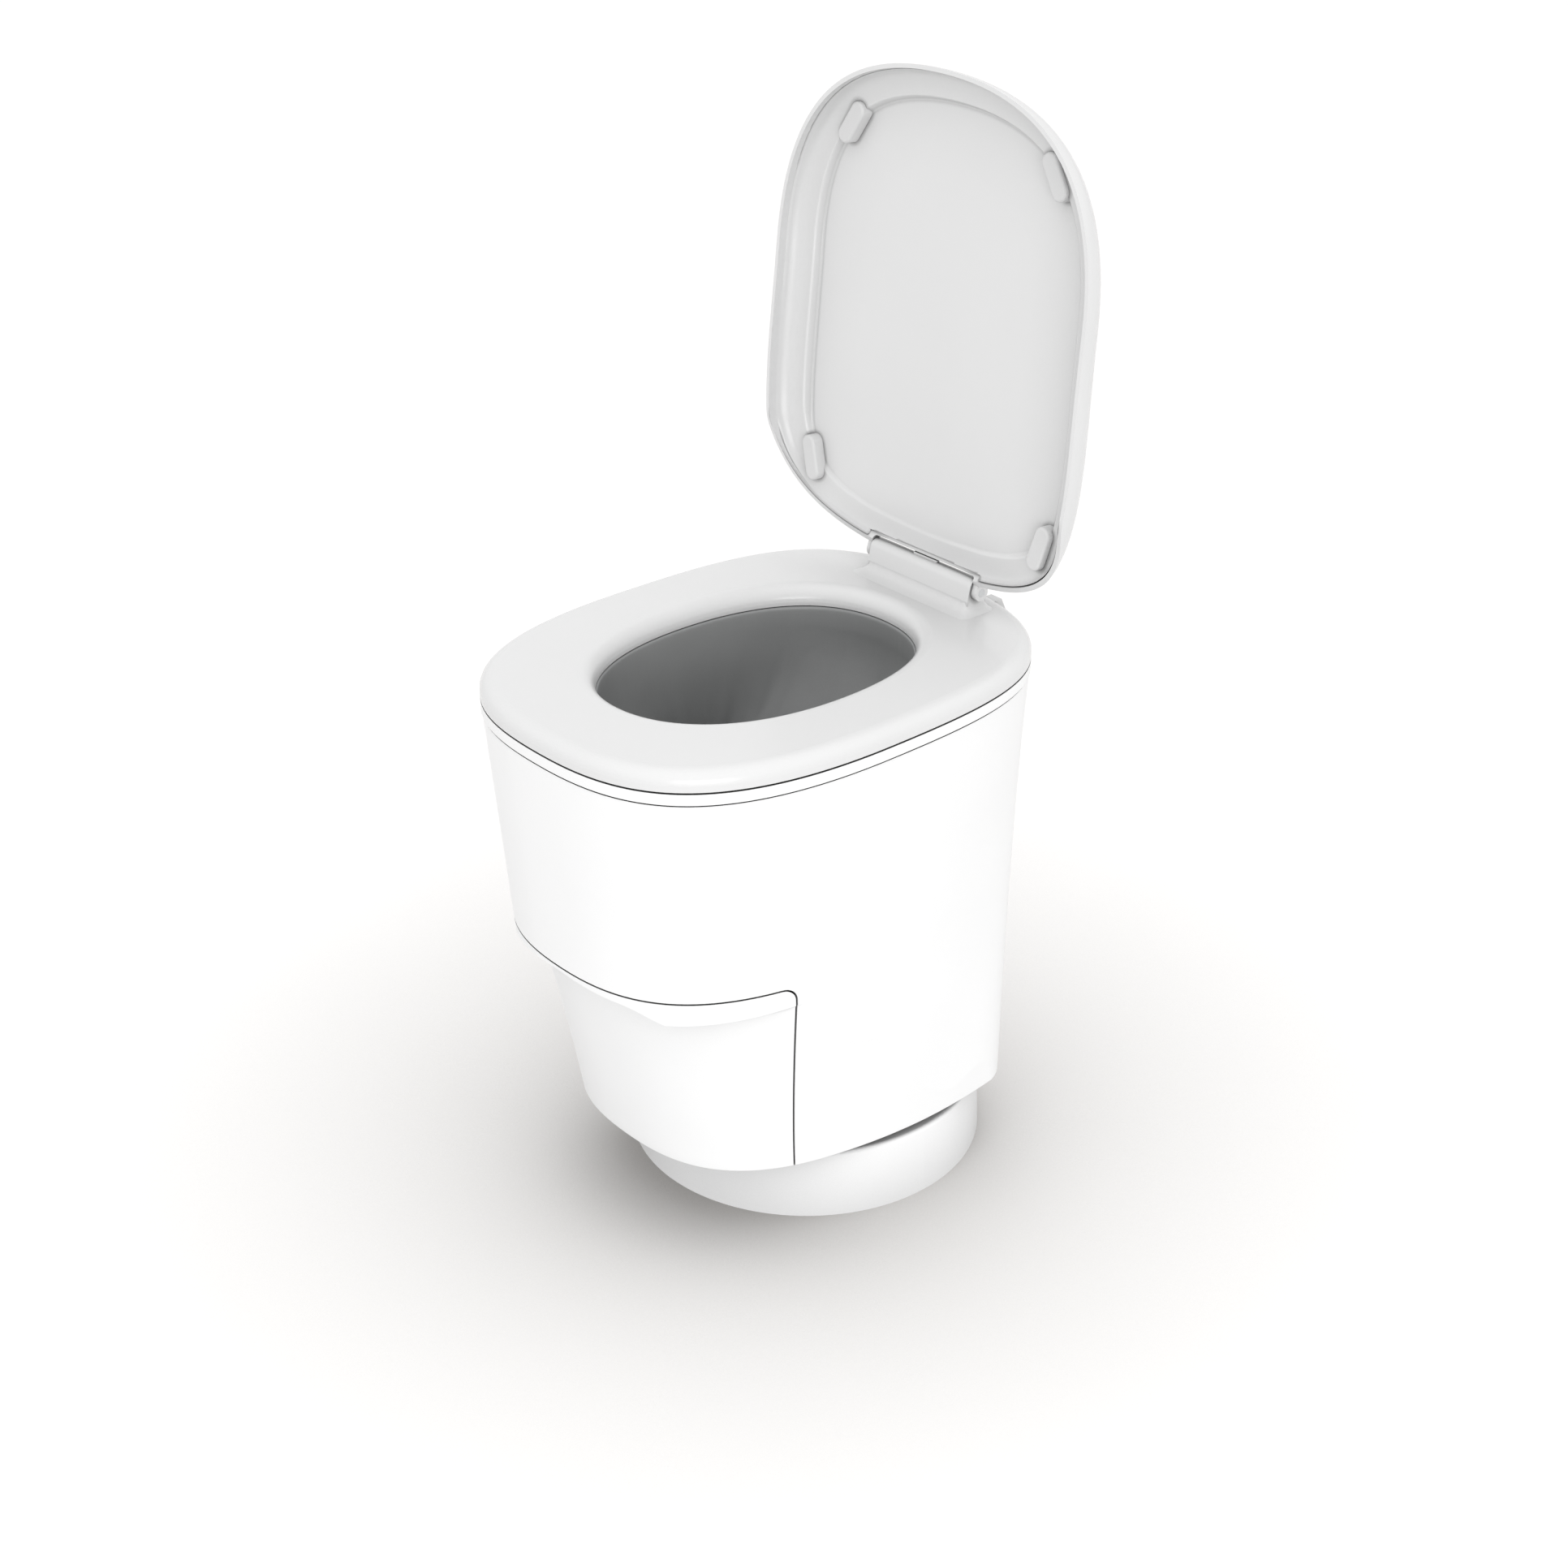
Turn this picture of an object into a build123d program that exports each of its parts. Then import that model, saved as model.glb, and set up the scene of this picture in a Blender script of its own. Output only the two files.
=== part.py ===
"""Sealing toilet on a swivel pedestal, modelled as an assembly of separate pieces.

Millimetres, +Z up. The origin is on the floor at the centre of the round base.
The front of the toilet faces -Y and its width lies along X. The lid stands open.
"""

import os
from math import acos, cos, pi, radians, sin, tan

from build123d import *

os.makedirs("parts", exist_ok=True)

# Driving dimensions

# Fits
running_gap = 0.3
shaft_fit = 0.05
groove_gap = 1.8
door_gap = 1.8

# Round base
base_foot_radius = 173.5
base_top_radius = 170.0
base_height = 70.0
base_wall = 4.0
base_deck = 6.0
base_flange_width = 46.0
base_edge_round = 4.0
floor_bolt_circle = 280.0
floor_bolt_hole = 4.5
floor_bolt_count = 4
bolt_access_radius = 9.0
base_flange_thick = 5.0
base_rib_count = 12
base_rib_thick = 3.0
base_rib_root = 0.25
base_rib_start = 7.5

# Swivel
spigot_radius = 60.0
spigot_bore = 45.0
swivel_radius = 115.0
swivel_width = 14.0
retainer_radius = 76.0
retainer_thick = 6.0
retainer_play = 0.5
retainer_screw_circle = 105.0
retainer_screw_count = 6

# Body levels
body_bottom = 78.0
chassis_bottom = 80.0
chassis_thick = 6.0
seat_parting = 511.5
collar_parting = 499.5
casing_wall = 3.0
bottom_round = 4.0
form_margin = 30.0
form_reach = 800.0

# Body outline at the seat parting: half width, front, rear, widest, and the fullness of
# the front and rear quarters along the width and along the side
top_half = 192.2
top_front = -309.0
top_rear = 191.0
top_widest = -77.0
top_fill = (0.475, 0.926, 0.943, 0.61)

# Body outline at the bottom, carried down from the overhanging front
foot_half = 173.7
foot_front = -282.7
foot_rear = 150.4
foot_widest = 16.0
foot_fill = (0.426, 0.887, 1.067, 0.60)

# Set-back lower front, at the lip and at the bottom
lip_level = 267.0
lip_rise = 0.033
recess_top_front = -267.9
recess_top_fill = (0.599, 0.766, 1.067, 0.60)
recess_foot_front = -227.1
recess_foot_fill = (0.40, 1.0, 1.067, 0.60)
recess_back = 30.0
recess_side_margin = 3.5

# Door
seam_level = 292.4
split_top = -159.3
split_bottom = -141.3
door_top_round = 15.0
door_foot_round = 9.0
door_foot_drop = 3.0
scoop_crown = 21.5
scoop_shoulder = 15.5
scoop_shoulder_half = 84.0
scoop_end_half = 112.0
scoop_round = 60.0

# Seat
seat_thick = 18.5
seat_edge_round = 12.5
mouth_half = 113.0
mouth_front = -218.5
mouth_rear = 98.0
mouth_widest = -60.0
mouth_fill = (0.60, 0.62, 0.62, 0.64)
mouth_round = 15.0
seat_pocket_wall = 7.0
seat_pocket_roof = 7.5
seat_rib_count = 12
seat_rib_thick = 3.0
seat_lug_root = 16.0

# Hinges
barrel_y = 150.0
barrel_z = 550.0
barrel_half = 67.5
crest_radius = 9.0
crest_rise = 3.5
tower_front = 138.0
tower_back = 162.0
skirt_height = 11.0
skirt_front = 20.0
skirt_side = 14.0
skirt_back = 6.0
skirt_round = 4.0
skirt_sink = 0.4
skirt_steps = 5
lid_pin_radius = 4.0
lid_open_angle = 94.5
seat_axis_y = 198.0
seat_axis_z = 504.0
seat_pin_radius = 3.0
seat_lug_x = 50.0
seat_lug_width = 14.0
seat_ear_width = 10.0
tab_half = 16.0

# Lid, in its closed place
lid_half = 197.2
lid_front = -316.0
lid_rear = 160.0
lid_widest = -125.0
lid_fill = (0.647, 0.698, 1.17, 0.63)
lid_rim = 511.8
lid_front_lift = 5.5
lid_front_bend = -40.0
lid_rear_bend = 46.0
lid_rear_slope = 0.335
lid_rim_round = 60.0
lid_height = 50.0
lid_shoulder = 72.0
lid_dome_power = 2.3
lid_wall = 3.8
lid_notch_front = 134.5
lid_flange = 3.2
lid_flange_drop = 11.0
lid_notch_round = 3.5
ear_width = 6.0
ear_radius = 8.0
bumper_length = 44.0
bumper_width = 17.0
bumper_rear = (152.0, 79.0, 16.0)
bumper_front = (127.0, -246.0, -32.0)
bumper_rest_gap = 0.4

# Bowl and film
funnel_wall = 2.5
funnel_waist = 425.0
funnel_foot = 364.0
slot_half_length = 104.0
slot_half_width = 17.0
slot_y = -60.0
film_thick = 1.2
film_gap = 0.4
cassette_bottom = 440.0
cassette_band = 22.0
cassette_gap = 3.0
cassette_wall = 2.0
cassette_cover_thick = 2.0

# Inner frame
frame_level = 484.0
frame_thick = 6.0
frame_inset = 1.0
post_radius = 7.0
post_fit = 0.2
rear_posts = ((158.0, 22.0), (118.0, 108.0))
hanger_place = (134.0, -190.0)
deck_level = 308.0
deck_thick = 5.0
deck_inset = 8.0

# Sealing jaws
rod_radius = 6.0
rod_x = 120.0
rod_level = 346.0
rod_front = -146.0
rod_rear = 26.0
rod_block_size = (22.0, 14.0, 34.0)
jaw_half = 113.0
jaw_depth = 16.0
jaw_height = 26.0
jaw_open = 34.0
jaw_pad = 3.0
pad_height = 8.0
jaw_closed_gap = 2.0
jaw_head_half = 9.5
jaw_head_depth = 22.0
rack_module = 1.5
pinion_teeth = 16
pinion_height = 9.0
pinion_x = 150.0
rack_depth = 5.0
rack_height = 7.0
rack_play = 0.12
pinion_shaft_radius = 3.0
motor_radius = 17.0
motor_length = 46.0
roller_radius = 8.0
roller_half = 92.0
roller_axle_radius = 3.0
roller_drop = 23.0
roller_bracket = 6.0
roller_eye = 7.0
roller_end = 12.0

# Drawer
bin_half = 100.0
bin_front = -196.0
bin_rear = 66.0
bin_top = 258.0
bin_wall = 2.2
bin_draft = 8.0
bin_corner = 30.0
rail_x = 116.0
rail_width = 12.0
rail_height = 14.0
rail_front = -128.0
rail_rear = 96.0
carriage_thick = 2.5
rail_floor = 3.0
rail_groove = (6.0, 8.0)
bin_rim = 5.0
bracket_x = 56.0
bracket_width = 12.0
bracket_top = 200.0
bracket_gap = 9.0
carriage_reach = 12.0
carriage_rim = 4.0

retainer_screw_radius = 2.5
retainer_screw_head = 4.2
retainer_screw_grip = 12.0

# Casing screws
casing_screw_places = ((155.0, 60.0), (-155.0, 60.0), (152.0, -64.0), (-152.0, -64.0))
casing_screw_radius = 2.0
casing_screw_head = 3.6
casing_screw_head_height = 1.6
casing_boss_radius = 6.0
casing_boss_height = 20.0

# Collar
collar_skirt_inset = 4.6
collar_skirt_wall = 3.0

# Small seat pieces
buffer_places = ((150.0, 40.0), (-150.0, 40.0), (128.0, -205.0), (-128.0, -205.0))
buffer_radius = 7.0
buffer_seat = 4.0
seat_ear_radius = 6.5
tab_seat = 3.0
tab_proud = 2.0
tab_width = 5.0
ear_gap = 0.5
lid_pin_length = 26.0
lid_skirt = 4.0
lid_margin = 20.0

# Funnel neck and waist
funnel_lap = 1.7
funnel_rim_level = 506.5
funnel_rim_width = 4.0
funnel_rim_thick = 2.0
funnel_neck = 492.0
waist_half = 107.0
waist_front = -188.0
waist_rear = 66.0
waist_widest = -60.0
slot_fill = (0.85, 0.8, 0.85, 0.8)
cassette_flange = 8.0
cassette_lip = 12.0
cassette_cover_gap = 6.0
pleat_count = 12
pleat_pitch = 2.5
pleat_tuck = 1.0

# Pinion and jaw details
bush_radius = 6.0
bush_flange = 3.0
pinion_hub_radius = 6.0
shaft_tail = 12.0
rear_arm_low = 351.5
rear_arm_top = 358.0
rear_arm_width = 12.0
feed_motor_radius = 8.0
feed_motor_length = 24.0

# Electronics
control_box = (62.0, 50.0, 98.0, 30.0)
control_wall = 2.0
board_rise = 8.0
terminal_y = 108.0


# Worked-out levels

seat_bottom = seat_parting + groove_gap / 2
collar_top = seat_parting - groove_gap / 2
collar_bottom = collar_parting + groove_gap / 2
casing_top = collar_parting - groove_gap / 2
seat_top = seat_bottom + seat_thick
chassis_top = chassis_bottom + chassis_thick
base_deck_bottom = base_height - base_deck
spigot_bottom = base_deck_bottom - retainer_play
retainer_bottom = spigot_bottom - retainer_thick
frame_top = frame_level + frame_thick
deck_top = deck_level + deck_thick
pinion_pitch = rack_module * pinion_teeth / 2
jaw_face = jaw_open + jaw_closed_gap / 2
jaw_bar_low = rod_level - jaw_height / 2
roller_level = rod_level - roller_drop
carriage_bottom = chassis_top + rail_floor + running_gap
bin_bottom = carriage_bottom + carriage_thick
crest_level = barrel_z + crest_rise
crest_top = crest_level + crest_radius
lid_hinge_line = Axis((0, barrel_y, barrel_z), (1, 0, 0))


# Closed outlines made of four cubic curves, symmetric about X = 0


def shape(half, front, rear, widest, fill, inset=0.0):
    """Numbers that fix an egg-shaped outline: its extents and its curves' handles."""
    front_fill, front_side, rear_fill, rear_side = fill
    half = half - inset
    front = front + inset
    rear = rear - inset
    front_turn = widest - front_side * (widest - front)
    rear_turn = widest + rear_side * (rear - widest)
    return half, front, rear, widest, front_fill * half, front_turn, rear_fill * half, rear_turn


def between(low, high, share):
    """Outline numbers part of the way from one outline to another."""
    return tuple(a + (b - a) * share for a, b in zip(low, high))


def outline(level, numbers):
    """Flat face at a level, from outline numbers."""
    half, front, rear, widest, front_handle, front_turn, rear_handle, rear_turn = numbers
    with BuildSketch(Plane.XY.offset(level)) as face:
        with BuildLine():
            for side in (1, -1):
                Bezier(
                    (0, front),
                    (side * front_handle, front),
                    (side * half, front_turn),
                    (side * half, widest),
                )
                Bezier(
                    (side * half, widest),
                    (side * half, rear_turn),
                    (side * rear_handle, rear),
                    (0, rear),
                )
        make_face()
    return face.sketch


def body_numbers(level, inset):
    share = (level - body_bottom) / (seat_parting - body_bottom)
    foot = shape(foot_half, foot_front, foot_rear, foot_widest, foot_fill, inset)
    top = shape(top_half, top_front, top_rear, top_widest, top_fill, inset)
    return between(foot, top, share)


def body_section(level, inset=0.0):
    """Outline of the full body at a level, from the bottom to the seat parting."""
    return outline(level, body_numbers(level, inset))


def recess_section(level, inset=0.0):
    """Outline of the set-back lower front, a little wider than the body at its sides."""
    half, front, rear, widest = body_numbers(lip_level, 0.0)[:4]
    share = (level - body_bottom) / (lip_level - body_bottom)
    foot = shape(foot_half, recess_foot_front, foot_rear + recess_back, foot_widest, recess_foot_fill, inset)
    top = shape(half + recess_side_margin, recess_top_front, rear + recess_back, widest, recess_top_fill, inset)
    return outline(level, between(foot, top, share))


def mouth_section(level, grow=0.0):
    return outline(level, shape(mouth_half, mouth_front, mouth_rear, mouth_widest, mouth_fill, -grow))


def body_slab(inset, bottom, top):
    """Slice between two levels of the full body, or of its inside when inset by the wall."""
    with BuildPart() as slab:
        loft([body_section(body_bottom - form_margin, inset), body_section(seat_parting, inset)], ruled=True)
        with BuildSketch(Plane.XY.offset(bottom)):
            Rectangle(form_reach, form_reach)
        extrude(amount=top - bottom, mode=Mode.INTERSECT)
    return slab.part


def body_form(inset, bottom, top, edge_round=0.0):
    """Slice of the body with its set-back lower front."""
    with BuildPart() as recess:
        with BuildSketch(Plane.YZ) as below_lip:
            with BuildLine():
                Polyline(
                    (top_front - form_margin, body_bottom - 2 * form_margin),
                    (top_front - form_margin, lip_level + inset - lip_rise * form_margin),
                    (foot_rear, lip_level + inset + lip_rise * (foot_rear - top_front)),
                    (foot_rear, body_bottom - 2 * form_margin),
                    close=True,
                )
            make_face()
        extrude(amount=form_reach / 2, both=True)
        with BuildSketch(Plane.XZ.offset(-top_front)) as scoop:
            with BuildLine():
                Polyline(
                    (-scoop_end_half - inset, lip_level - form_margin),
                    (-scoop_end_half - inset, lip_level),
                    (-scoop_shoulder_half - inset, lip_level + scoop_shoulder + inset),
                    (0, lip_level + scoop_crown + inset),
                    (scoop_shoulder_half + inset, lip_level + scoop_shoulder + inset),
                    (scoop_end_half + inset, lip_level),
                    (scoop_end_half + inset, lip_level - form_margin),
                    close=True,
                )
            make_face()
            shoulders = scoop.vertices().sort_by(Axis.Y)[-3:]
            fillet(shoulders, radius=scoop_round)
        extrude(amount=2 * form_margin, both=True)
        low = body_bottom - 3 * form_margin
        high = seam_level + form_margin
        loft([recess_section(low, inset), recess_section(high, inset)], ruled=True, mode=Mode.SUBTRACT)
    with BuildPart() as form:
        add(body_slab(inset, bottom, top))
        add(recess.part, mode=Mode.SUBTRACT)
        if edge_round:
            low_edges = form.edges().group_by(Axis.Z)[0]
            chamfer(low_edges, length=edge_round / 2)
    return form.part


def door_zone(clearance):
    """Block that holds the door, seen from the side, shrunk or grown by a clearance."""
    slope = (split_bottom - split_top) / (seam_level - body_bottom)
    low = body_bottom - door_foot_drop - clearance
    foot_y = split_bottom + slope * door_foot_drop + clearance
    with BuildPart() as zone:
        with BuildSketch(Plane.YZ) as side:
            with BuildLine():
                Polyline(
                    (top_front - form_margin, low),
                    (top_front - form_margin, seam_level + clearance),
                    (split_top + clearance, seam_level + clearance),
                    (foot_y, low),
                    close=True,
                )
            make_face()
            foot, head = side.vertices().sort_by(Axis.X)[-2:].sort_by(Axis.Y)
            fillet(head, radius=door_top_round + clearance)
            fillet(foot, radius=door_foot_round + clearance)
        extrude(amount=form_reach / 2, both=True)
    return zone.part


def write(part, label):
    part.label = label
    export_step(part, f"parts/{label}.step")


def tube(outer, inner, low, high):
    """Upright ring between two levels, centred on Z."""
    with BuildPart() as ring:
        with BuildSketch(Plane.XY.offset(low)):
            Circle(outer)
            Circle(inner, mode=Mode.SUBTRACT)
        extrude(amount=high - low)
    return ring.part


def block(x_low, x_high, y_low, y_high, z_low, z_high):
    """Rectangular block between two corners."""
    with BuildPart() as piece:
        with BuildSketch(Plane.XY.offset(z_low)):
            with Locations(((x_low + x_high) / 2, (y_low + y_high) / 2)):
                Rectangle(x_high - x_low, y_high - y_low)
        extrude(amount=z_high - z_low)
    return piece.part


def rod(radius, plane, length):
    """Round bar that starts on a plane and runs along its normal."""
    with BuildPart() as piece:
        with BuildSketch(plane):
            Circle(radius)
        extrude(amount=length)
    return piece.part


def ring_plate(outer_section, inner_section, amount):
    with BuildPart() as piece:
        extrude(outer_section, amount=amount)
        extrude(inner_section, amount=amount, mode=Mode.SUBTRACT)
    return piece.part


outer_form = body_form(0.0, body_bottom, casing_top, bottom_round)
inner_form = body_form(casing_wall, body_bottom - form_margin / 2, casing_top + running_gap)


# Base pedestal: conical wall, ring deck with the swivel bore, bolt flange and ribs
with BuildPart() as base_pedestal:
    with BuildSketch(Plane.XZ):
        with BuildLine():
            Polyline(
                (base_foot_radius - base_flange_width, 0),
                (base_foot_radius, 0),
                (base_top_radius, base_height),
                (spigot_radius + shaft_fit, base_height),
                (spigot_radius + shaft_fit, base_deck_bottom),
                (base_top_radius - base_wall, base_deck_bottom),
                (base_foot_radius - base_wall, base_flange_thick),
                (base_foot_radius - base_flange_width, base_flange_thick),
                close=True,
            )
        make_face()
    revolve(axis=Axis.Z)
    top_rim = base_pedestal.edges().filter_by(GeomType.CIRCLE).group_by(Axis.Z)[-1].sort_by(SortBy.RADIUS)[-1]
    fillet(top_rim, radius=base_edge_round)
    rib_inner = base_foot_radius - base_flange_width
    rib_outer = base_foot_radius - base_wall + base_rib_root
    with PolarLocations((rib_inner + rib_outer) / 2, base_rib_count, start_angle=base_rib_start):
        with Locations((0, 0, (base_flange_thick + base_deck_bottom) / 2)):
            Box(rib_outer - rib_inner, base_rib_thick, base_deck_bottom - base_flange_thick)
    with BuildSketch():
        with PolarLocations(floor_bolt_circle / 2, floor_bolt_count, start_angle=45):
            Circle(floor_bolt_hole)
    extrude(amount=base_flange_thick, mode=Mode.SUBTRACT)
    with BuildSketch(Plane.XY.offset(base_deck_bottom)):
        with PolarLocations(floor_bolt_circle / 2, floor_bolt_count, start_angle=45):
            Circle(bolt_access_radius)
    extrude(amount=base_deck, mode=Mode.SUBTRACT)
write(base_pedestal.part, "base_pedestal")

# Swivel ring: low-friction thrust ring between the base and the chassis
with BuildPart() as swivel_ring:
    add(tube(swivel_radius + swivel_width / 2, swivel_radius - swivel_width / 2, base_height, chassis_bottom))
    chamfer(swivel_ring.edges(), length=1.0)
write(swivel_ring.part, "swivel_ring")

# Chassis plate with the hollow spigot that turns in the base
with BuildPart() as chassis_plate:
    add(body_form(casing_wall + running_gap, chassis_bottom, chassis_top))
    add(tube(spigot_radius, spigot_bore, spigot_bottom, chassis_bottom))
    with BuildSketch(Plane.XY.offset(spigot_bottom)):
        Circle(spigot_bore)
    extrude(amount=chassis_top - spigot_bottom, mode=Mode.SUBTRACT)
    with BuildSketch(Plane.XY.offset(spigot_bottom)):
        with PolarLocations(retainer_screw_circle / 2, retainer_screw_count):
            Circle(retainer_screw_radius + shaft_fit)
    extrude(amount=retainer_screw_grip, mode=Mode.SUBTRACT)
    with BuildSketch(Plane.XY.offset(chassis_bottom)):
        with Locations(*casing_screw_places):
            Circle(casing_screw_radius + running_gap)
        with PolarLocations(floor_bolt_circle / 2, floor_bolt_count, start_angle=45):
            Circle(bolt_access_radius)
    extrude(amount=chassis_thick, mode=Mode.SUBTRACT)
write(chassis_plate.part, "chassis_plate")

# Swivel retainer under the base deck, and its screws
with BuildPart() as swivel_retainer:
    add(tube(retainer_radius, spigot_bore, retainer_bottom, spigot_bottom))
    with BuildSketch(Plane.XY.offset(retainer_bottom)):
        with PolarLocations(retainer_screw_circle / 2, retainer_screw_count):
            Circle(retainer_screw_radius + running_gap)
    extrude(amount=retainer_thick, mode=Mode.SUBTRACT)
write(swivel_retainer.part, "swivel_retainer")


def screws(places, seat_level, radius, head_radius, head_height, grip, upward=True):
    """Group of screws with a hex socket, heads seated at a level."""
    way = 1 if upward else -1
    with BuildPart() as group:
        with BuildSketch(Plane.XY.offset(seat_level)):
            with Locations(*places):
                Circle(radius)
        extrude(amount=way * grip)
        with BuildSketch(Plane.XY.offset(seat_level)):
            with Locations(*places):
                Circle(head_radius)
        extrude(amount=-way * head_height)
        with BuildSketch(Plane.XY.offset(seat_level - way * head_height)):
            with Locations(*places):
                RegularPolygon(radius * 0.6, 6)
        extrude(amount=way * head_height * 0.6, mode=Mode.SUBTRACT)
    return group.part


retainer_places = [
    (retainer_screw_circle / 2 * cos(radians(k * 360 / retainer_screw_count)),
     retainer_screw_circle / 2 * sin(radians(k * 360 / retainer_screw_count)))
    for k in range(retainer_screw_count)
]
write(
    screws(retainer_places, retainer_bottom, retainer_screw_radius, retainer_screw_head, 4.0,
           retainer_thick + retainer_screw_grip - 2),
    "retainer_screws",
)

# Body casing: overhanging upper body, lower sides and back, open at the front door
with BuildPart() as casing_bosses:
    with BuildSketch(Plane.XY.offset(chassis_top)):
        for x, y in casing_screw_places:
            with Locations((x, y)):
                Circle(casing_boss_radius)
            outward = 30 if x > 0 else -30
            with Locations((x + outward / 2, y)):
                Rectangle(abs(outward), casing_boss_radius)
    extrude(amount=casing_boss_height)
    with BuildSketch(Plane.XY.offset(chassis_top)):
        with Locations(*casing_screw_places):
            Circle(casing_screw_radius + shaft_fit)
    extrude(amount=casing_boss_height - 4, mode=Mode.SUBTRACT)
with BuildPart() as body_casing:
    add(outer_form)
    add(inner_form, mode=Mode.SUBTRACT)
    add(door_zone(door_gap / 2), mode=Mode.SUBTRACT)
    add(casing_bosses.part & outer_form)
write(body_casing.part, "body_casing")
write(
    screws(casing_screw_places, chassis_bottom, casing_screw_radius, casing_screw_head, casing_screw_head_height,
           chassis_thick + casing_boss_height - 6),
    "casing_screws",
)

# Front door: wrap-round panel with its top band, finger scoop and set-back face
with BuildPart() as front_door:
    add(outer_form)
    add(inner_form, mode=Mode.SUBTRACT)
    add(door_zone(-door_gap / 2), mode=Mode.INTERSECT)
write(front_door.part, "front_door")

# Frame posts and front hangers
with BuildPart() as frame_posts:
    with BuildSketch(Plane.XY.offset(chassis_top)):
        for x, y in rear_posts:
            with Locations((x, y), (-x, y)):
                Circle(post_radius)
    extrude(amount=frame_level - chassis_top)
write(frame_posts.part, "frame_posts")

hanger_x, hanger_y = hanger_place
with BuildPart() as front_hangers:
    with BuildSketch(Plane.XY.offset(deck_top)):
        with Locations((hanger_x, hanger_y), (-hanger_x, hanger_y)):
            Circle(post_radius)
    extrude(amount=frame_level - deck_top)
write(front_hangers.part, "front_hangers")

# Upper frame: ring plate that carries the collar and the film cassette
cassette_outer = funnel_lap + funnel_wall + cassette_gap + cassette_band
with BuildPart() as upper_frame:
    add(body_slab(casing_wall + frame_inset, frame_level, frame_top))
    extrude(mouth_section(frame_level, cassette_outer + running_gap), amount=frame_thick, mode=Mode.SUBTRACT)
write(upper_frame.part, "upper_frame")

# Collar ring: thin ring under the seat with a skirt that stands on the upper frame,
# a rebate for the funnel's rim and two pairs of hinge ears at the back
with BuildPart() as collar_ring:
    extrude(body_section(seat_parting).moved(Location((0, 0, collar_bottom - seat_parting))),
            amount=collar_top - collar_bottom)
    add(body_slab(collar_skirt_inset, frame_top, collar_bottom))
    add(body_slab(collar_skirt_inset + collar_skirt_wall, frame_top, collar_bottom), mode=Mode.SUBTRACT)
    extrude(mouth_section(frame_top, funnel_lap + running_gap), amount=collar_top - frame_top, mode=Mode.SUBTRACT)
    extrude(mouth_section(funnel_rim_level, funnel_lap + funnel_rim_width + running_gap),
            amount=collar_top - funnel_rim_level, mode=Mode.SUBTRACT)
    for side in (-1, 1):
        for step in (-1, 1):
            ear_x = side * seat_lug_x + step * (seat_lug_width / 2 + running_gap + seat_ear_width / 2)
            with BuildSketch(Plane.YZ.offset(ear_x - seat_ear_width / 2)):
                with Locations((seat_axis_y, seat_axis_z)):
                    Circle(seat_ear_radius)
                with BuildLine():
                    Polyline(
                        (top_rear - 8, collar_bottom),
                        (top_rear - 8, collar_top),
                        (seat_axis_y, collar_top),
                        (seat_axis_y, collar_bottom),
                        close=True,
                    )
                make_face()
                with Locations((seat_axis_y, seat_axis_z)):
                    Circle(seat_pin_radius + shaft_fit, mode=Mode.SUBTRACT)
            extrude(amount=seat_ear_width)
write(collar_ring.part, "collar_ring")

# Seat hinge pins through the ears
pin_half = seat_lug_width / 2 + running_gap + seat_ear_width
with BuildPart() as seat_hinge_pins:
    for side in (-1, 1):
        start = Plane.YZ.offset(side * seat_lug_x - pin_half)
        add(rod(seat_pin_radius, Plane((start.origin.X, seat_axis_y, seat_axis_z), x_dir=(0, 1, 0), z_dir=(1, 0, 0)),
                2 * pin_half))
write(seat_hinge_pins.part, "seat_hinge_pins")

# Hollow under the seat, left by its walls, its radial ribs and its buffer bosses
with BuildPart() as seat_pocket:
    pocket_depth = seat_thick - seat_pocket_roof
    extrude(body_section(seat_parting, seat_pocket_wall).moved(Location((0, 0, seat_bottom - seat_parting))),
            amount=pocket_depth)
    extrude(mouth_section(seat_bottom, seat_pocket_wall), amount=pocket_depth, mode=Mode.SUBTRACT)
    with BuildSketch(Plane.XY.offset(seat_bottom)):
        with Locations((0, mouth_widest)):
            with PolarLocations(top_half, seat_rib_count, start_angle=360 / seat_rib_count / 2):
                Rectangle(2 * top_half, seat_rib_thick)
        with Locations(*buffer_places):
            Circle(buffer_radius + seat_rib_thick)
        with Locations((seat_lug_x, top_rear), (-seat_lug_x, top_rear)):
            Rectangle(seat_lug_width, 2 * seat_lug_root)
    extrude(amount=pocket_depth, mode=Mode.SUBTRACT)


def skirt_section(turn):
    """Outline of the tower's flared foot at an angle round its hollow curve, from the foot up."""
    flare = 1 - sin(radians(turn))
    level = seat_top - skirt_sink + (skirt_height + skirt_sink) * (1 - cos(radians(turn)))
    half = barrel_half + skirt_side * flare
    front = tower_front - skirt_front * flare
    back = tower_back + skirt_back * flare
    with BuildSketch(Plane.XY.offset(level)) as face:
        with Locations((0, (front + back) / 2)):
            RectangleRounded(2 * half, back - front, skirt_round + skirt_side * flare / 2)
    return face.sketch


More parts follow.
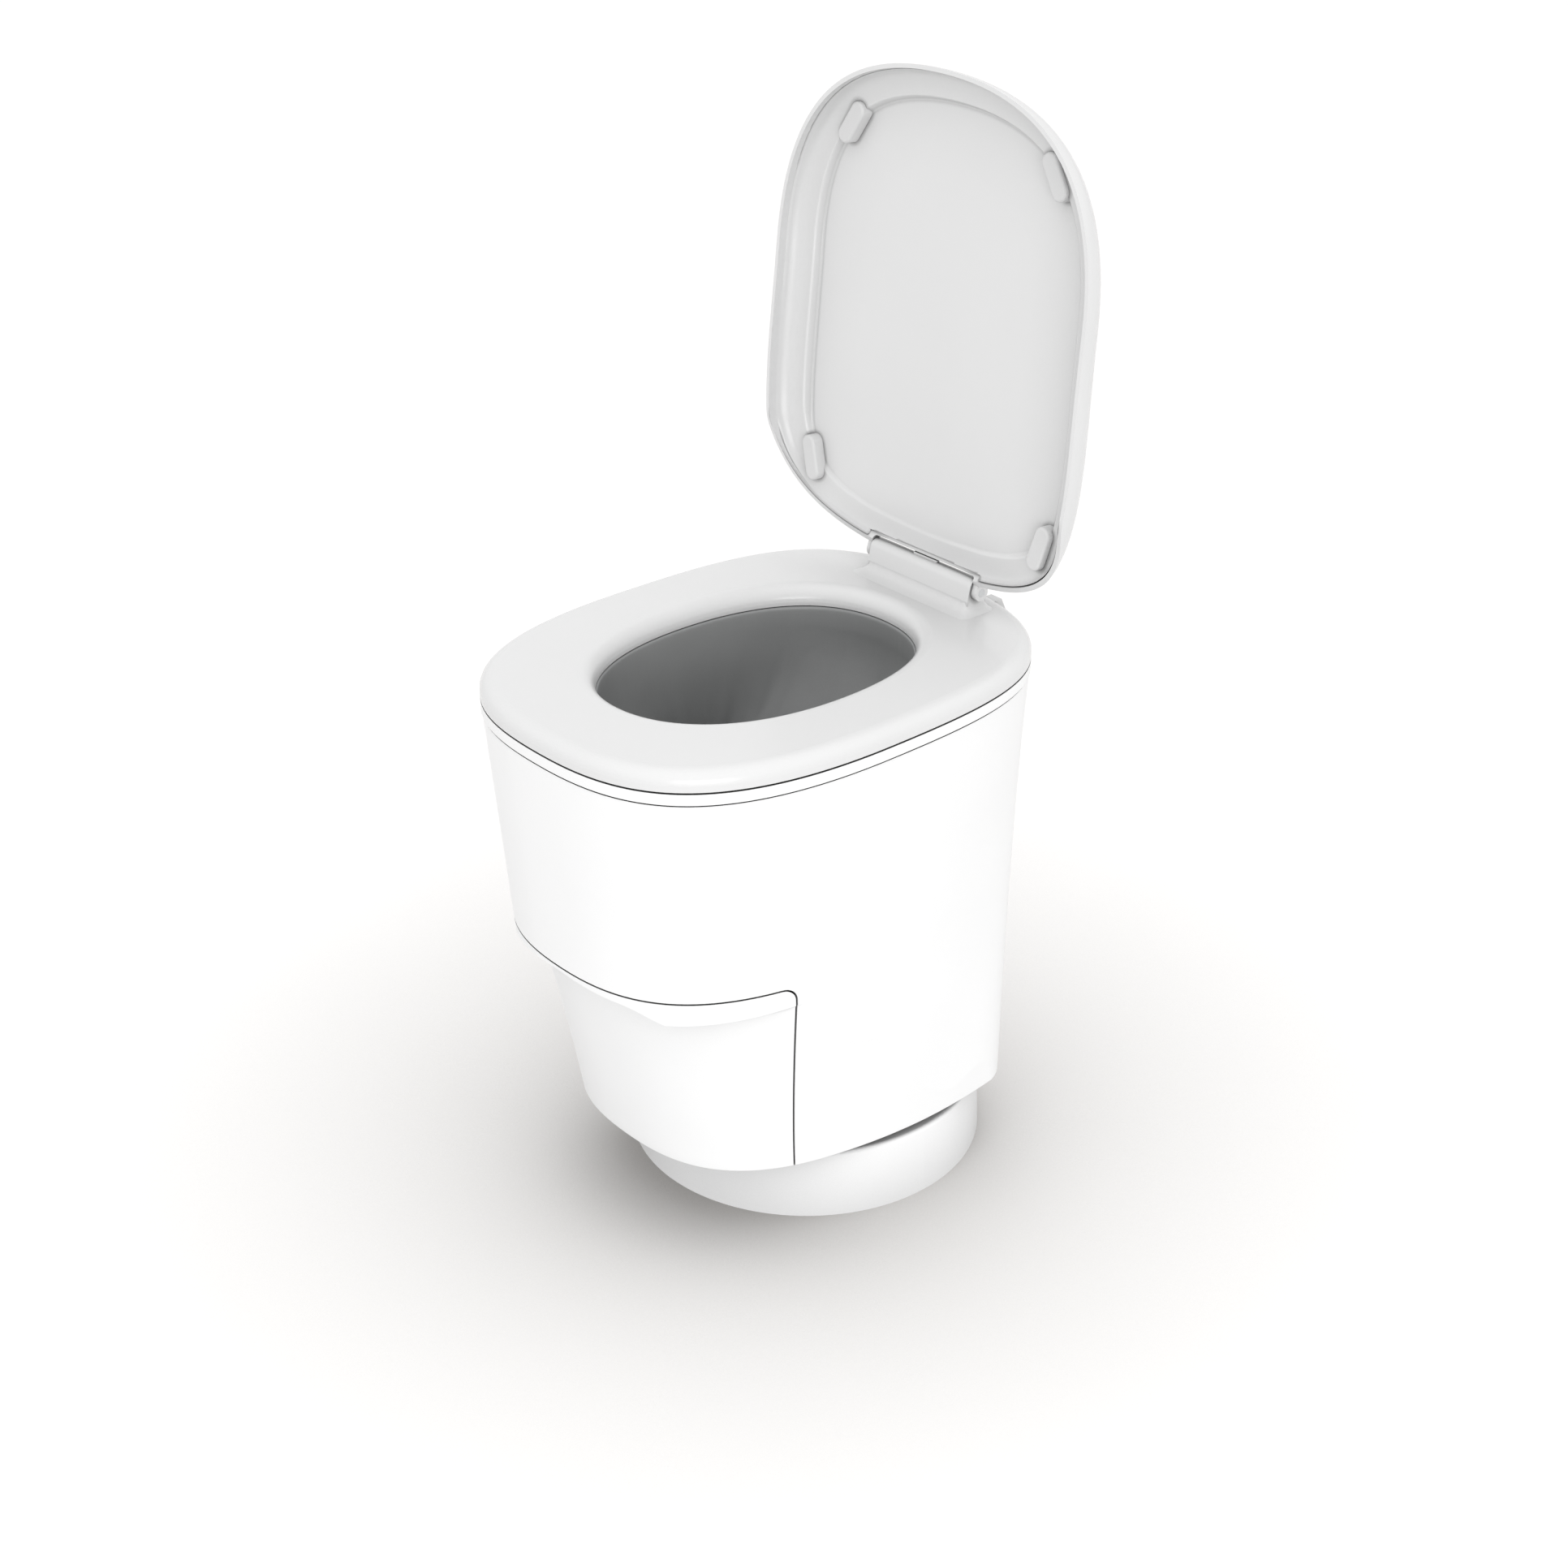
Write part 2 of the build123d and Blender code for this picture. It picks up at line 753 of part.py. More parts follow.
# Seat ring with its moulded hinge tower, flared foot and back lugs
with BuildPart() as seat_ring:
    extrude(body_section(seat_parting).moved(Location((0, 0, seat_bottom - seat_parting))), amount=seat_thick)
    fillet(seat_ring.edges().group_by(Axis.Z)[-1], radius=seat_edge_round)
    extrude(mouth_section(seat_bottom - 1), amount=seat_thick + 2, mode=Mode.SUBTRACT)
    mouth_edge = seat_ring.faces().sort_by(Axis.Z)[-1].inner_wires()[0].edges()
    fillet(mouth_edge, radius=mouth_round)
    with BuildSketch(Plane.YZ.offset(-barrel_half)):
        with Locations((barrel_y, crest_level)):
            Circle(crest_radius)
        with Locations(((tower_front + tower_back) / 2, seat_top)):
            Rectangle(tower_back - tower_front, 2 * skirt_height)
        make_hull()
    extrude(amount=2 * barrel_half)
    loft([skirt_section(90 * k / skirt_steps) for k in range(skirt_steps + 1)])
    with BuildSketch(Plane.YZ.offset(-barrel_half)):
        with Locations((barrel_y, barrel_z)):
            Circle(lid_pin_radius + shaft_fit)
    extrude(amount=2 * barrel_half, mode=Mode.SUBTRACT)
    for side in (-1, 1):
        with BuildSketch(Plane.YZ.offset(side * seat_lug_x - seat_lug_width / 2)):
            with BuildLine():
                Polyline(
                    (top_rear - 9, seat_bottom + 1),
                    (top_rear - 9, seat_top - 5),
                    (seat_axis_y - 3, seat_top - 5),
                    (seat_axis_y + seat_ear_radius, seat_axis_z + 2),
                    (seat_axis_y, seat_axis_z),
                    (seat_axis_y - seat_ear_radius + 0.5, seat_axis_z + 2),
                    (seat_axis_y - seat_ear_radius + 0.5, seat_bottom + 1),
                    close=True,
                )
            make_face()
            with Locations((seat_axis_y, seat_axis_z)):
                Circle(seat_ear_radius)
                Circle(seat_pin_radius + shaft_fit, mode=Mode.SUBTRACT)
        extrude(amount=seat_lug_width)
    add(seat_pocket.part, mode=Mode.SUBTRACT)
    with BuildSketch(Plane.XY.offset(seat_bottom)):
        with Locations(*buffer_places):
            Circle(buffer_radius + shaft_fit)
    extrude(amount=buffer_seat, mode=Mode.SUBTRACT)
    with BuildSketch(Plane.XY.offset(crest_top - tab_seat)):
        with Locations((0, barrel_y)):
            RectangleRounded(2 * tab_half + 2 * shaft_fit, tab_width + 2 * shaft_fit, tab_width / 3)
    extrude(amount=2 * tab_seat, mode=Mode.SUBTRACT)
write(seat_ring.part, "seat_ring")

# Rubber buffers under the seat
with BuildPart() as seat_buffers:
    with BuildSketch(Plane.XY.offset(collar_top + running_gap)):
        with Locations(*buffer_places):
            Circle(buffer_radius)
    extrude(amount=groove_gap - running_gap + buffer_seat)
write(seat_buffers.part, "seat_buffers")

# Release tab: small raised bar let into the top of the barrel
with BuildPart() as release_tab:
    with BuildSketch(Plane.XY.offset(crest_top - tab_seat)):
        with Locations((0, barrel_y)):
            RectangleRounded(2 * tab_half, tab_width, tab_width / 3)
    extrude(amount=tab_seat + tab_proud)
    fillet(release_tab.edges().group_by(Axis.Z)[-1], radius=0.8)
write(release_tab.part, "release_tab")


# Lid, modelled closed and then turned open about the barrel


def lid_dome(inset):
    """Solid pillow shape of the lid, or of its hollow when inset by the wall."""
    sections = [lid_section(lid_rim - lid_skirt, inset)]
    steps = 6
    for k in range(steps + 1):
        turn = radians(90 * k / steps)
        rise = sin(turn) ** (2 / lid_dome_power)
        pull = 1 - max(cos(turn), 0.0) ** (2 / lid_dome_power)
        level = lid_rim + (lid_height - inset) * rise
        sections.append(lid_section(level, inset + (lid_shoulder - inset) * pull))
    with BuildPart() as dome:
        loft(sections)
    return dome.part


def lid_section(level, inset):
    return outline(level, shape(lid_half, lid_front, lid_rear, lid_widest, lid_fill, inset))


def notch_section(level, half, front, corner_round):
    """Cut-out at the lid's hinge end, open to the rear, with two rounded corners."""
    rear = lid_rear + lid_margin
    with BuildSketch(Plane.XY.offset(level)) as face:
        with Locations((0, (front + rear) / 2)):
            Rectangle(2 * half, rear - front)
        fillet(face.vertices().group_by(Axis.Y)[0], radius=corner_round)
    return face.sketch


lid_top = lid_rim + lid_height
lid_outside = lid_dome(0.0)
lid_hollow = lid_dome(lid_wall)
ear_inner = barrel_half + ear_gap
ear_outer = ear_inner + ear_width

with BuildPart() as below_rim:
    with BuildSketch(Plane.YZ) as rim_side:
        with BuildLine():
            Polyline(
                (lid_rear + lid_margin, lid_rim + lid_rear_slope * (lid_rear + lid_margin - lid_rear_bend)),
                (lid_rear + lid_margin, lid_rim - lid_height),
                (lid_front - lid_margin, lid_rim - lid_height),
                (lid_front - lid_margin, lid_rim + lid_front_lift),
                (lid_front_bend, lid_rim),
                (lid_rear_bend, lid_rim),
                close=True,
            )
        make_face()
        bends = rim_side.vertices().filter_by_position(Axis.Y, lid_rim - 1, lid_rim + 1)
        fillet(bends, radius=lid_rim_round)
    extrude(amount=lid_half + lid_margin, both=True)

with BuildPart() as notch_frame:
    flange_low = lid_top - lid_wall - lid_flange_drop
    extrude(notch_section(flange_low, ear_outer, lid_notch_front - lid_flange, lid_notch_round + lid_flange),
            amount=lid_top - flange_low)
    add(lid_outside, mode=Mode.INTERSECT)
    for side in (-1, 1):
        with BuildSketch(Plane.YZ.offset(side * (ear_inner + ear_width / 2) - ear_width / 2)):
            with Locations((barrel_y, barrel_z)):
                Circle(ear_radius)
            with Locations((lid_notch_front - lid_flange / 2, flange_low + lid_flange / 2)):
                Rectangle(lid_flange, lid_flange)
            make_hull()
        extrude(amount=ear_width)

with BuildPart() as lid_closed:
    add(lid_outside)
    add(lid_hollow, mode=Mode.SUBTRACT)
    add(below_rim.part, mode=Mode.SUBTRACT)
    add(notch_frame.part)
    extrude(notch_section(lid_rim, ear_inner, lid_notch_front, lid_notch_round), amount=2 * lid_height,
            mode=Mode.SUBTRACT)
    with BuildSketch(Plane.YZ.offset(-ear_outer - 1)):
        with Locations((barrel_y, barrel_z)):
            Circle(lid_pin_radius + shaft_fit)
    extrude(amount=2 * ear_outer + 2, mode=Mode.SUBTRACT)
write(lid_closed.part.rotate(lid_hinge_line, -lid_open_angle), "lid_shell")

# Four angled pads inside the lid
with BuildPart() as bumpers_closed:
    for x, y, turn in (bumper_rear, bumper_front):
        for side in (-1, 1):
            with BuildSketch(Plane.XY.offset(seat_top + bumper_rest_gap)):
                with Locations(Location((side * x, y, 0), (0, 0, 90 + side * turn))):
                    SlotOverall(bumper_length, bumper_width)
            extrude(amount=lid_top - seat_top)
    fillet(bumpers_closed.edges().group_by(Axis.Z)[0], radius=2.5)
    add(lid_hollow, mode=Mode.INTERSECT)
write(bumpers_closed.part.rotate(lid_hinge_line, -lid_open_angle), "lid_bumpers")

# Hinge pins of the lid, one at each end of the barrel
with BuildPart() as hinge_pins:
    for side in (-1, 1):
        middle = side * (ear_outer - lid_pin_length / 2)
        add(rod(lid_pin_radius,
                Plane((middle - lid_pin_length / 2, barrel_y, barrel_z), x_dir=(0, 1, 0), z_dir=(1, 0, 0)),
                lid_pin_length))
write(hinge_pins.part, "hinge_pins")


# Bowl funnel: rim that hangs in the collar, straight neck, then a smooth draw to the film slot


def slot_section(level, grow=0.0):
    front = slot_y - slot_half_width
    rear = slot_y + slot_half_width
    return outline(level, shape(slot_half_length, front, rear, slot_y, slot_fill, -grow))


def waist_section(level, grow=0.0):
    return outline(level, shape(waist_half, waist_front, waist_rear, waist_widest, mouth_fill, -grow))


def funnel_form(grow, top):
    """Solid of the funnel, from the slot up through its straight neck."""
    neck = [mouth_section(funnel_neck, grow), mouth_section(top, grow)]
    throat = [
        slot_section(funnel_foot, grow),
        waist_section(funnel_waist, grow),
        mouth_section(funnel_neck - 14, grow - 0.6),
        mouth_section(funnel_neck, grow),
    ]
    with BuildPart() as form:
        loft(throat)
        loft(neck, ruled=True)
    return form.part


funnel_inner_grow = funnel_lap - funnel_wall
with BuildPart() as bowl_funnel:
    add(funnel_form(funnel_lap, funnel_rim_level))
    extrude(mouth_section(funnel_rim_level, funnel_lap + funnel_rim_width), amount=funnel_rim_thick)
    extrude(mouth_section(funnel_rim_level, funnel_inner_grow), amount=funnel_rim_thick, mode=Mode.SUBTRACT)
    add(funnel_form(funnel_inner_grow, funnel_rim_level + 1), mode=Mode.SUBTRACT)
write(bowl_funnel.part, "bowl_funnel")

# Film sleeve: thin liner that hangs inside the funnel and leaves by the slot
film_outer = funnel_inner_grow - film_gap
with BuildPart() as liner_sleeve:
    add(funnel_form(film_outer, funnel_rim_level + funnel_rim_thick))
    add(funnel_form(film_outer - film_thick, funnel_rim_level + funnel_rim_thick + 1), mode=Mode.SUBTRACT)
write(liner_sleeve.part, "liner_sleeve")

# Film cassette: channel-shaped tray round the funnel, hung on the upper frame
cassette_inner = funnel_lap + cassette_gap
with BuildPart() as cassette_tray:
    extrude(mouth_section(cassette_bottom, cassette_outer), amount=frame_top - cassette_bottom)
    extrude(mouth_section(frame_top, cassette_outer + cassette_flange), amount=cassette_wall)
    extrude(mouth_section(cassette_bottom + cassette_wall, cassette_outer - cassette_wall),
            amount=frame_top - cassette_bottom, mode=Mode.SUBTRACT)
    extrude(mouth_section(cassette_bottom, cassette_inner + cassette_wall),
            amount=frame_top - cassette_bottom - cassette_lip)
    extrude(mouth_section(cassette_bottom, cassette_inner), amount=frame_top, mode=Mode.SUBTRACT)
write(cassette_tray.part, "cassette_tray")

# Folded endless film, packed in pleats
with BuildPart() as liner_stack:
    stack_inner = cassette_inner + cassette_wall + running_gap
    stack_outer = cassette_outer - cassette_wall - running_gap
    stack_low = cassette_bottom + cassette_wall
    for k in range(pleat_count):
        level = stack_low + k * pleat_pitch
        tuck = pleat_tuck if k % 2 else 0.0
        extrude(mouth_section(level, stack_outer - tuck), amount=pleat_pitch)
    extrude(mouth_section(stack_low, stack_inner), amount=pleat_count * pleat_pitch, mode=Mode.SUBTRACT)
write(liner_stack.part, "liner_stack")

with BuildPart() as cassette_cover:
    add(ring_plate(
        mouth_section(frame_top + cassette_wall, cassette_outer + cassette_flange - 3),
        mouth_section(frame_top + cassette_wall, cassette_inner + cassette_cover_gap),
        cassette_cover_thick,
    ))
write(cassette_cover.part, "cassette_cover")

# Sealing deck: plate with the film slot and holes for posts and pinion bushes
with BuildPart() as sealer_deck:
    extrude(body_section(deck_level, casing_wall + deck_inset), amount=deck_thick)
    with BuildSketch(Plane.XY.offset(deck_level)):
        with Locations((0, slot_y)):
            RectangleRounded(2 * slot_half_length + 8, 2 * slot_half_width + 16, 12)
        for x, y in rear_posts:
            with Locations((x, y), (-x, y)):
                Circle(post_radius + post_fit)
        with Locations((pinion_x, slot_y), (-pinion_x, slot_y)):
            Circle(bush_radius + shaft_fit)
    extrude(amount=deck_thick, mode=Mode.SUBTRACT)
write(sealer_deck.part, "sealer_deck")

# Guide rods and their end blocks
rod_length = rod_rear - rod_front
with BuildPart() as guide_rods:
    for side in (-1, 1):
        add(rod(rod_radius, Plane((side * rod_x, rod_front, rod_level), x_dir=(1, 0, 0), z_dir=(0, 1, 0)), rod_length))
write(guide_rods.part, "guide_rods")

block_width, block_depth, block_over = rod_block_size
with BuildPart() as rod_blocks:
    for side in (-1, 1):
        for y_low in (rod_front, rod_rear - block_depth):
            add(block(side * rod_x - block_width / 2, side * rod_x + block_width / 2, y_low, y_low + block_depth,
                      deck_top, rod_level + block_over))
    for side in (-1, 1):
        add(rod(rod_radius + shaft_fit,
                Plane((side * rod_x, rod_front - 1, rod_level), x_dir=(1, 0, 0), z_dir=(0, 1, 0)), rod_length + 2),
            mode=Mode.SUBTRACT)
write(rod_blocks.part, "rod_blocks")


# Sealing jaws: two bars on the guide rods, each with a rack on either side


def rack(root_x, way, start, end, low, high):
    """Toothed bar along Y with a tooth gap at the pinion's axis. way is the side it faces."""
    pitch = pi * rack_module
    tip = rack_module * 0.9
    root = rack_module * 1.25
    pitch_x = root_x + way * root
    half_tip = pitch / 4 - rack_play - tip * tan(radians(20))
    half_root = pitch / 4 - rack_play + root * tan(radians(20))
    first = int((start - slot_y) // pitch) + 2
    last = int((end - slot_y) // pitch) - 1
    with BuildPart() as bar:
        with BuildSketch(Plane.XY.offset(low)):
            with Locations((root_x - way * rack_depth / 2, (start + end) / 2)):
                Rectangle(rack_depth, end - start)
            for k in range(first, last):
                middle = slot_y + (k + 0.5) * pitch
                with BuildLine():
                    Polyline(
                        (root_x - way * 0.5, middle - half_root),
                        (root_x, middle - half_root),
                        (pitch_x + way * tip, middle - half_tip),
                        (pitch_x + way * tip, middle + half_tip),
                        (root_x, middle + half_root),
                        (root_x - way * 0.5, middle + half_root),
                        close=True,
                    )
                make_face()
        extrude(amount=high - low)
    return bar.part


rack_root = rack_module * 1.25
inner_root_x = pinion_x - pinion_pitch - rack_root
outer_root_x = pinion_x + pinion_pitch + rack_root
rack_low = rod_level - rack_height / 2
rack_high = rod_level + rack_height / 2
mesh_reach = 11.0


def jaw_bar(way):
    """Jaw bar with rod heads and roller brackets. way is +1 at the front, -1 at the back."""
    face_y = slot_y - way * (jaw_face + jaw_pad)
    back_y = face_y - way * jaw_depth
    head_y = slot_y - way * (jaw_face + 1)
    head_back = head_y - way * jaw_head_depth
    roller_y = slot_y - way * (jaw_face + roller_radius)
    high = rod_level + jaw_height / 2
    with BuildPart() as bar:
        add(block(-jaw_half, jaw_half, min(face_y, back_y), max(face_y, back_y), jaw_bar_low, high))
        chamfer(bar.edges().filter_by(Axis.X), length=1.5)
        for side in (-1, 1):
            add(block(side * rod_x - jaw_head_half, side * rod_x + jaw_head_half,
                      min(head_y, head_back), max(head_y, head_back), jaw_bar_low, high))
            near = side * (roller_half + running_gap)
            far = near + side * roller_bracket
            add(block(min(near, far), max(near, far), roller_y - roller_eye, roller_y + roller_eye,
                      roller_level - roller_eye, jaw_bar_low + 2))
        for side in (-1, 1):
            add(rod(rod_radius + shaft_fit,
                    Plane((side * rod_x, rod_front, rod_level), x_dir=(1, 0, 0), z_dir=(0, 1, 0)), rod_length),
                mode=Mode.SUBTRACT)
        add(rod(roller_axle_radius + shaft_fit,
                Plane((-jaw_half, roller_y, roller_level), x_dir=(0, 1, 0), z_dir=(1, 0, 0)), 2 * jaw_half),
            mode=Mode.SUBTRACT)
    return bar.part


with BuildPart() as front_jaw_bar:
    add(jaw_bar(1))
    front_rack_start = slot_y - jaw_open - mesh_reach
    for side in (-1, 1):
        add(rack(side * inner_root_x, side, front_rack_start - 8, slot_y + mesh_reach, rack_low, rack_high))
        web_low = min(side * (rod_x + jaw_head_half - 2), side * inner_root_x)
        web_high = max(side * (rod_x + jaw_head_half - 2), side * inner_root_x)
        add(block(web_low, web_high, front_rack_start - 8, slot_y - jaw_face - 1, rack_low, rack_high))
write(front_jaw_bar.part, "front_jaw_bar")

with BuildPart() as rear_jaw_bar:
    add(jaw_bar(-1))
    arm_y = slot_y + jaw_face + 5
    for side in (-1, 1):
        rack_end = arm_y + rear_arm_width
        add(rack(side * outer_root_x, -side, slot_y - mesh_reach, rack_end, rack_low, rack_high))
        far_x = outer_root_x + rack_depth
        add(block(min(side * outer_root_x, side * far_x), max(side * outer_root_x, side * far_x),
                  slot_y - mesh_reach, rack_end, rack_high, rear_arm_top))
        add(block(min(side * (rod_x + jaw_head_half - 1), side * far_x),
                  max(side * (rod_x + jaw_head_half - 1), side * far_x),
                  arm_y, rack_end, rear_arm_low, rear_arm_top))
write(rear_jaw_bar.part, "rear_jaw_bar")

pad_low = rod_level - pad_height / 2
for way, name in ((1, "front_heater"), (-1, "rear_seal_pad")):
    pad_face = slot_y - way * jaw_face
    pad_back = pad_face - way * jaw_pad
    with BuildPart() as jaw_strip:
        add(block(-jaw_half + 4, jaw_half - 4, min(pad_face, pad_back), max(pad_face, pad_back),
                  pad_low, pad_low + pad_height))
        chamfer(jaw_strip.edges().filter_by(Axis.X), length=0.8)
    write(jaw_strip.part, name)

# Feed rollers with their axles
for way, name in ((1, "front_feed_roller"), (-1, "rear_feed_roller")):
    roller_y = slot_y - way * (jaw_face + roller_radius)
    with BuildPart() as roller:
        add(rod(roller_radius, Plane((-roller_half, roller_y, roller_level), x_dir=(0, 1, 0), z_dir=(1, 0, 0)),
                2 * roller_half))
        chamfer(roller.edges(), length=1.0)
        add(rod(roller_axle_radius,
                Plane((-roller_half - roller_end, roller_y, roller_level), x_dir=(0, 1, 0), z_dir=(1, 0, 0)),
                2 * (roller_half + roller_end)))
    write(roller.part, name)

# Feed motor on the front jaw, on the front roller's axle
with BuildPart() as feed_motor:
    motor_y = slot_y - jaw_face - roller_radius
    motor_start = -roller_half - running_gap - roller_bracket - feed_motor_length
    add(rod(feed_motor_radius, Plane((motor_start, motor_y, roller_level), x_dir=(0, 1, 0), z_dir=(1, 0, 0)),
            feed_motor_length))
    chamfer(feed_motor.edges(), length=1.0)
    add(rod(roller_axle_radius + shaft_fit,
            Plane((-roller_half - roller_end - 1, motor_y, roller_level), x_dir=(0, 1, 0), z_dir=(1, 0, 0)), roller_end),
        mode=Mode.SUBTRACT)
write(feed_motor.part, "feed_motor")


# Pinions: involute teeth with a tooth toward each rack, hub and shaft down through the deck


def involute(angle):
    return tan(angle) - angle


def pinion(x):
    base_radius = pinion_pitch * cos(radians(20))
    tip_radius = pinion_pitch + rack_module * 0.9
    root_radius = pinion_pitch - rack_module * 1.2
    half_pitch_angle = (pi * rack_module / 4 - rack_play) / pinion_pitch
    flank = []
    steps = 4
    for k in range(steps + 1):
        radius = base_radius + (tip_radius - base_radius) * k / steps
        pressure = 0.0 if k == 0 else acos(base_radius / radius)
        flank.append((radius, half_pitch_angle + involute(radians(20)) - involute(pressure)))
    points = []
    for tooth in range(pinion_teeth):
        middle = 2 * pi * tooth / pinion_teeth
        lower = [(root_radius, -flank[0][1])] + [(r, -a) for r, a in flank]
        upper = [(r, a) for r, a in reversed(flank)] + [(root_radius, flank[0][1])]
        points += [(r * cos(middle + a), r * sin(middle + a)) for r, a in lower + upper]
    with BuildPart() as gear:
        with BuildSketch(Plane.XY.offset(rod_level - pinion_height / 2)):
            with Locations((x, slot_y)):
                with BuildLine():
                    Polyline(*[(x + px, slot_y + py) for px, py in points], close=True)
                make_face()
        extrude(amount=pinion_height)
        add(rod(pinion_hub_radius, Plane((x, slot_y, deck_top + bush_flange + running_gap)),
                rod_level - deck_top - bush_flange - running_gap))
        add(rod(pinion_shaft_radius, Plane((x, slot_y, deck_level - shaft_tail)), rod_level - deck_level + shaft_tail))
    return gear.part


write(pinion(pinion_x), "drive_pinion")
write(pinion(-pinion_x), "idler_pinion")

# Flanged bushes that carry the pinion shafts in the deck
with BuildPart() as pinion_bushes:
    for side in (-1, 1):
        place = Plane((side * pinion_x, slot_y, deck_level))
        add(rod(bush_radius, place, deck_thick))
        add(rod(bush_radius + 3, Plane((side * pinion_x, slot_y, deck_top)), bush_flange))
        add(rod(pinion_shaft_radius + shaft_fit, place, deck_thick + bush_flange), mode=Mode.SUBTRACT)
write(pinion_bushes.part, "pinion_bushes")

# Jaw motor under the deck
with BuildPart() as jaw_motor:
    motor_top = deck_level
    add(rod(motor_radius, Plane((pinion_x, slot_y, motor_top - motor_length)), motor_length))
    chamfer(jaw_motor.edges(), length=1.5)
    add(rod(motor_radius * 0.75, Plane((pinion_x, slot_y, motor_top - motor_length - 8)), 8))
    add(rod(pinion_shaft_radius + shaft_fit, Plane((pinion_x, slot_y, motor_top - shaft_tail - 2)), shaft_tail + 2),
        mode=Mode.SUBTRACT)
write(jaw_motor.part, "jaw_motor")

# Electronics box behind the bowl, on the deck
box_half, box_front, box_rear, box_height = control_box
with BuildPart() as control_box_tray:
    add(block(-box_half, box_half, box_front, box_rear, deck_top, deck_top + box_height))
    offset(amount=-control_wall, openings=control_box_tray.faces().sort_by(Axis.Z)[-1])
    for side in (-1, 1):
        add(block(side * (box_half - 14) - 3, side * (box_half - 14) + 3, box_front + 10, box_rear - 10,
                  deck_top + control_wall, deck_top + board_rise))
write(control_box_tray.part, "control_box")

with BuildPart() as control_board:
    add(block(-box_half + 5, box_half - 5, box_front + 5, box_rear - 5, deck_top + board_rise, deck_top + board_rise + 1.6))
    board_top = deck_top + board_rise + 1.6
    for x, width, depth, tall in ((-34, 18, 16, 8), (-8, 12, 12, 3), (16, 20, 10, 5), (38, 10, 22, 11)):
        middle_y = (box_front + box_rear) / 2
        add(block(x - width / 2, x + width / 2, middle_y - depth / 2, middle_y + depth / 2, board_top, board_top + tall))
write(control_board.part, "control_board")

with BuildPart() as board_cover:
    cover_low = deck_top + box_height
    add(block(-box_half, box_half, box_front, box_rear, cover_low, cover_low + control_wall))
    chamfer(board_cover.edges().group_by(Axis.Z)[-1], length=1.0)
    with BuildSketch(Plane.XY.offset(cover_low)):
        with Locations((0, (box_front + box_rear) / 2)):
            with GridLocations(10, 0, 7, 1):
                SlotOverall(22, 3, rotation=90)
    extrude(amount=control_wall, mode=Mode.SUBTRACT)
write(board_cover.part, "board_cover")

# Terminal block for the supply lead that comes up the hollow spigot
with BuildPart() as power_inlet:
    inlet_y = terminal_y
    add(block(-26, 26, inlet_y - 13, inlet_y + 13, chassis_top, chassis_top + 22))
    chamfer(power_inlet.edges().group_by(Axis.Z)[-1], length=2.0)
    add(rod(8, Plane((0, inlet_y - 13, chassis_top + 11), x_dir=(1, 0, 0), z_dir=(0, -1, 0)), 9))
    add(rod(4, Plane((0, inlet_y, chassis_top + 11), x_dir=(1, 0, 0), z_dir=(0, -1, 0)), 30), mode=Mode.SUBTRACT)
write(power_inlet.part, "power_inlet")


# Drawer: rails on the chassis, carriage with runners and door brackets, and the bin
groove_depth, groove_height = rail_groove
with BuildPart() as drawer_rails:
    for side in (-1, 1):
        near = side * (rail_x - rail_width / 2)
        far = side * (rail_x + rail_width / 2)
        add(block(min(near, far), max(near, far), rail_front, rail_rear, chassis_top, chassis_top + rail_height))
        deep = near + side * groove_depth
        add(block(min(near, deep), max(near, deep), rail_front, rail_rear,
                  chassis_top + rail_floor, chassis_top + rail_floor + groove_height), mode=Mode.SUBTRACT)
write(drawer_rails.part, "drawer_rails")

with BuildPart() as drawer_carriage:
    plate_half = rail_x - rail_width / 2 - running_gap - 2
    add(block(-plate_half, plate_half, bin_front - carriage_reach, bin_rear + carriage_rim,
              carriage_bottom, bin_bottom))
    for side in (-1, 1):
        add(block(side * bracket_x - bracket_width / 2, side * bracket_x + bracket_width / 2,
                  recess_top_front, bin_front - bracket_gap, carriage_bottom, bracket_top))
    add(body_form(casing_wall + running_gap, body_bottom, lip_level), mode=Mode.INTERSECT)
    for side in (-1, 1):
        near = side * (plate_half - carriage_rim)
        far = side * (rail_x - rail_width / 2 + groove_depth - running_gap)
        add(block(min(near, far), max(near, far), rail_front, bin_rear + carriage_rim,
                  carriage_bottom, chassis_top + rail_floor + groove_height - running_gap))
write(drawer_carriage.part, "drawer_carriage")


def bin_section(level, grow):
    with BuildSketch(Plane.XY.offset(level)) as face:
        with Locations((0, (bin_front + bin_rear) / 2)):
            RectangleRounded(2 * (bin_half + grow), bin_rear - bin_front + 2 * grow, bin_corner + grow)
    return face.sketch


with BuildPart() as waste_bin:
    loft([bin_section(bin_bottom, -bin_draft), bin_section(bin_top, 0.0)], ruled=True)
    extrude(bin_section(bin_top - bin_rim / 2, bin_rim - 2), amount=bin_rim / 2)
    loft([bin_section(bin_bottom + bin_wall, -bin_draft - bin_wall), bin_section(bin_top, -bin_wall)],
         ruled=True, mode=Mode.SUBTRACT)
write(waste_bin.part, "waste_bin")
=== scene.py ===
"""Looks of the sealing toilet on its swivel pedestal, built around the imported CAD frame."""

import math

import bmesh
import bpy
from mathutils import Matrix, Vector
from mathutils.bvhtree import BVHTree


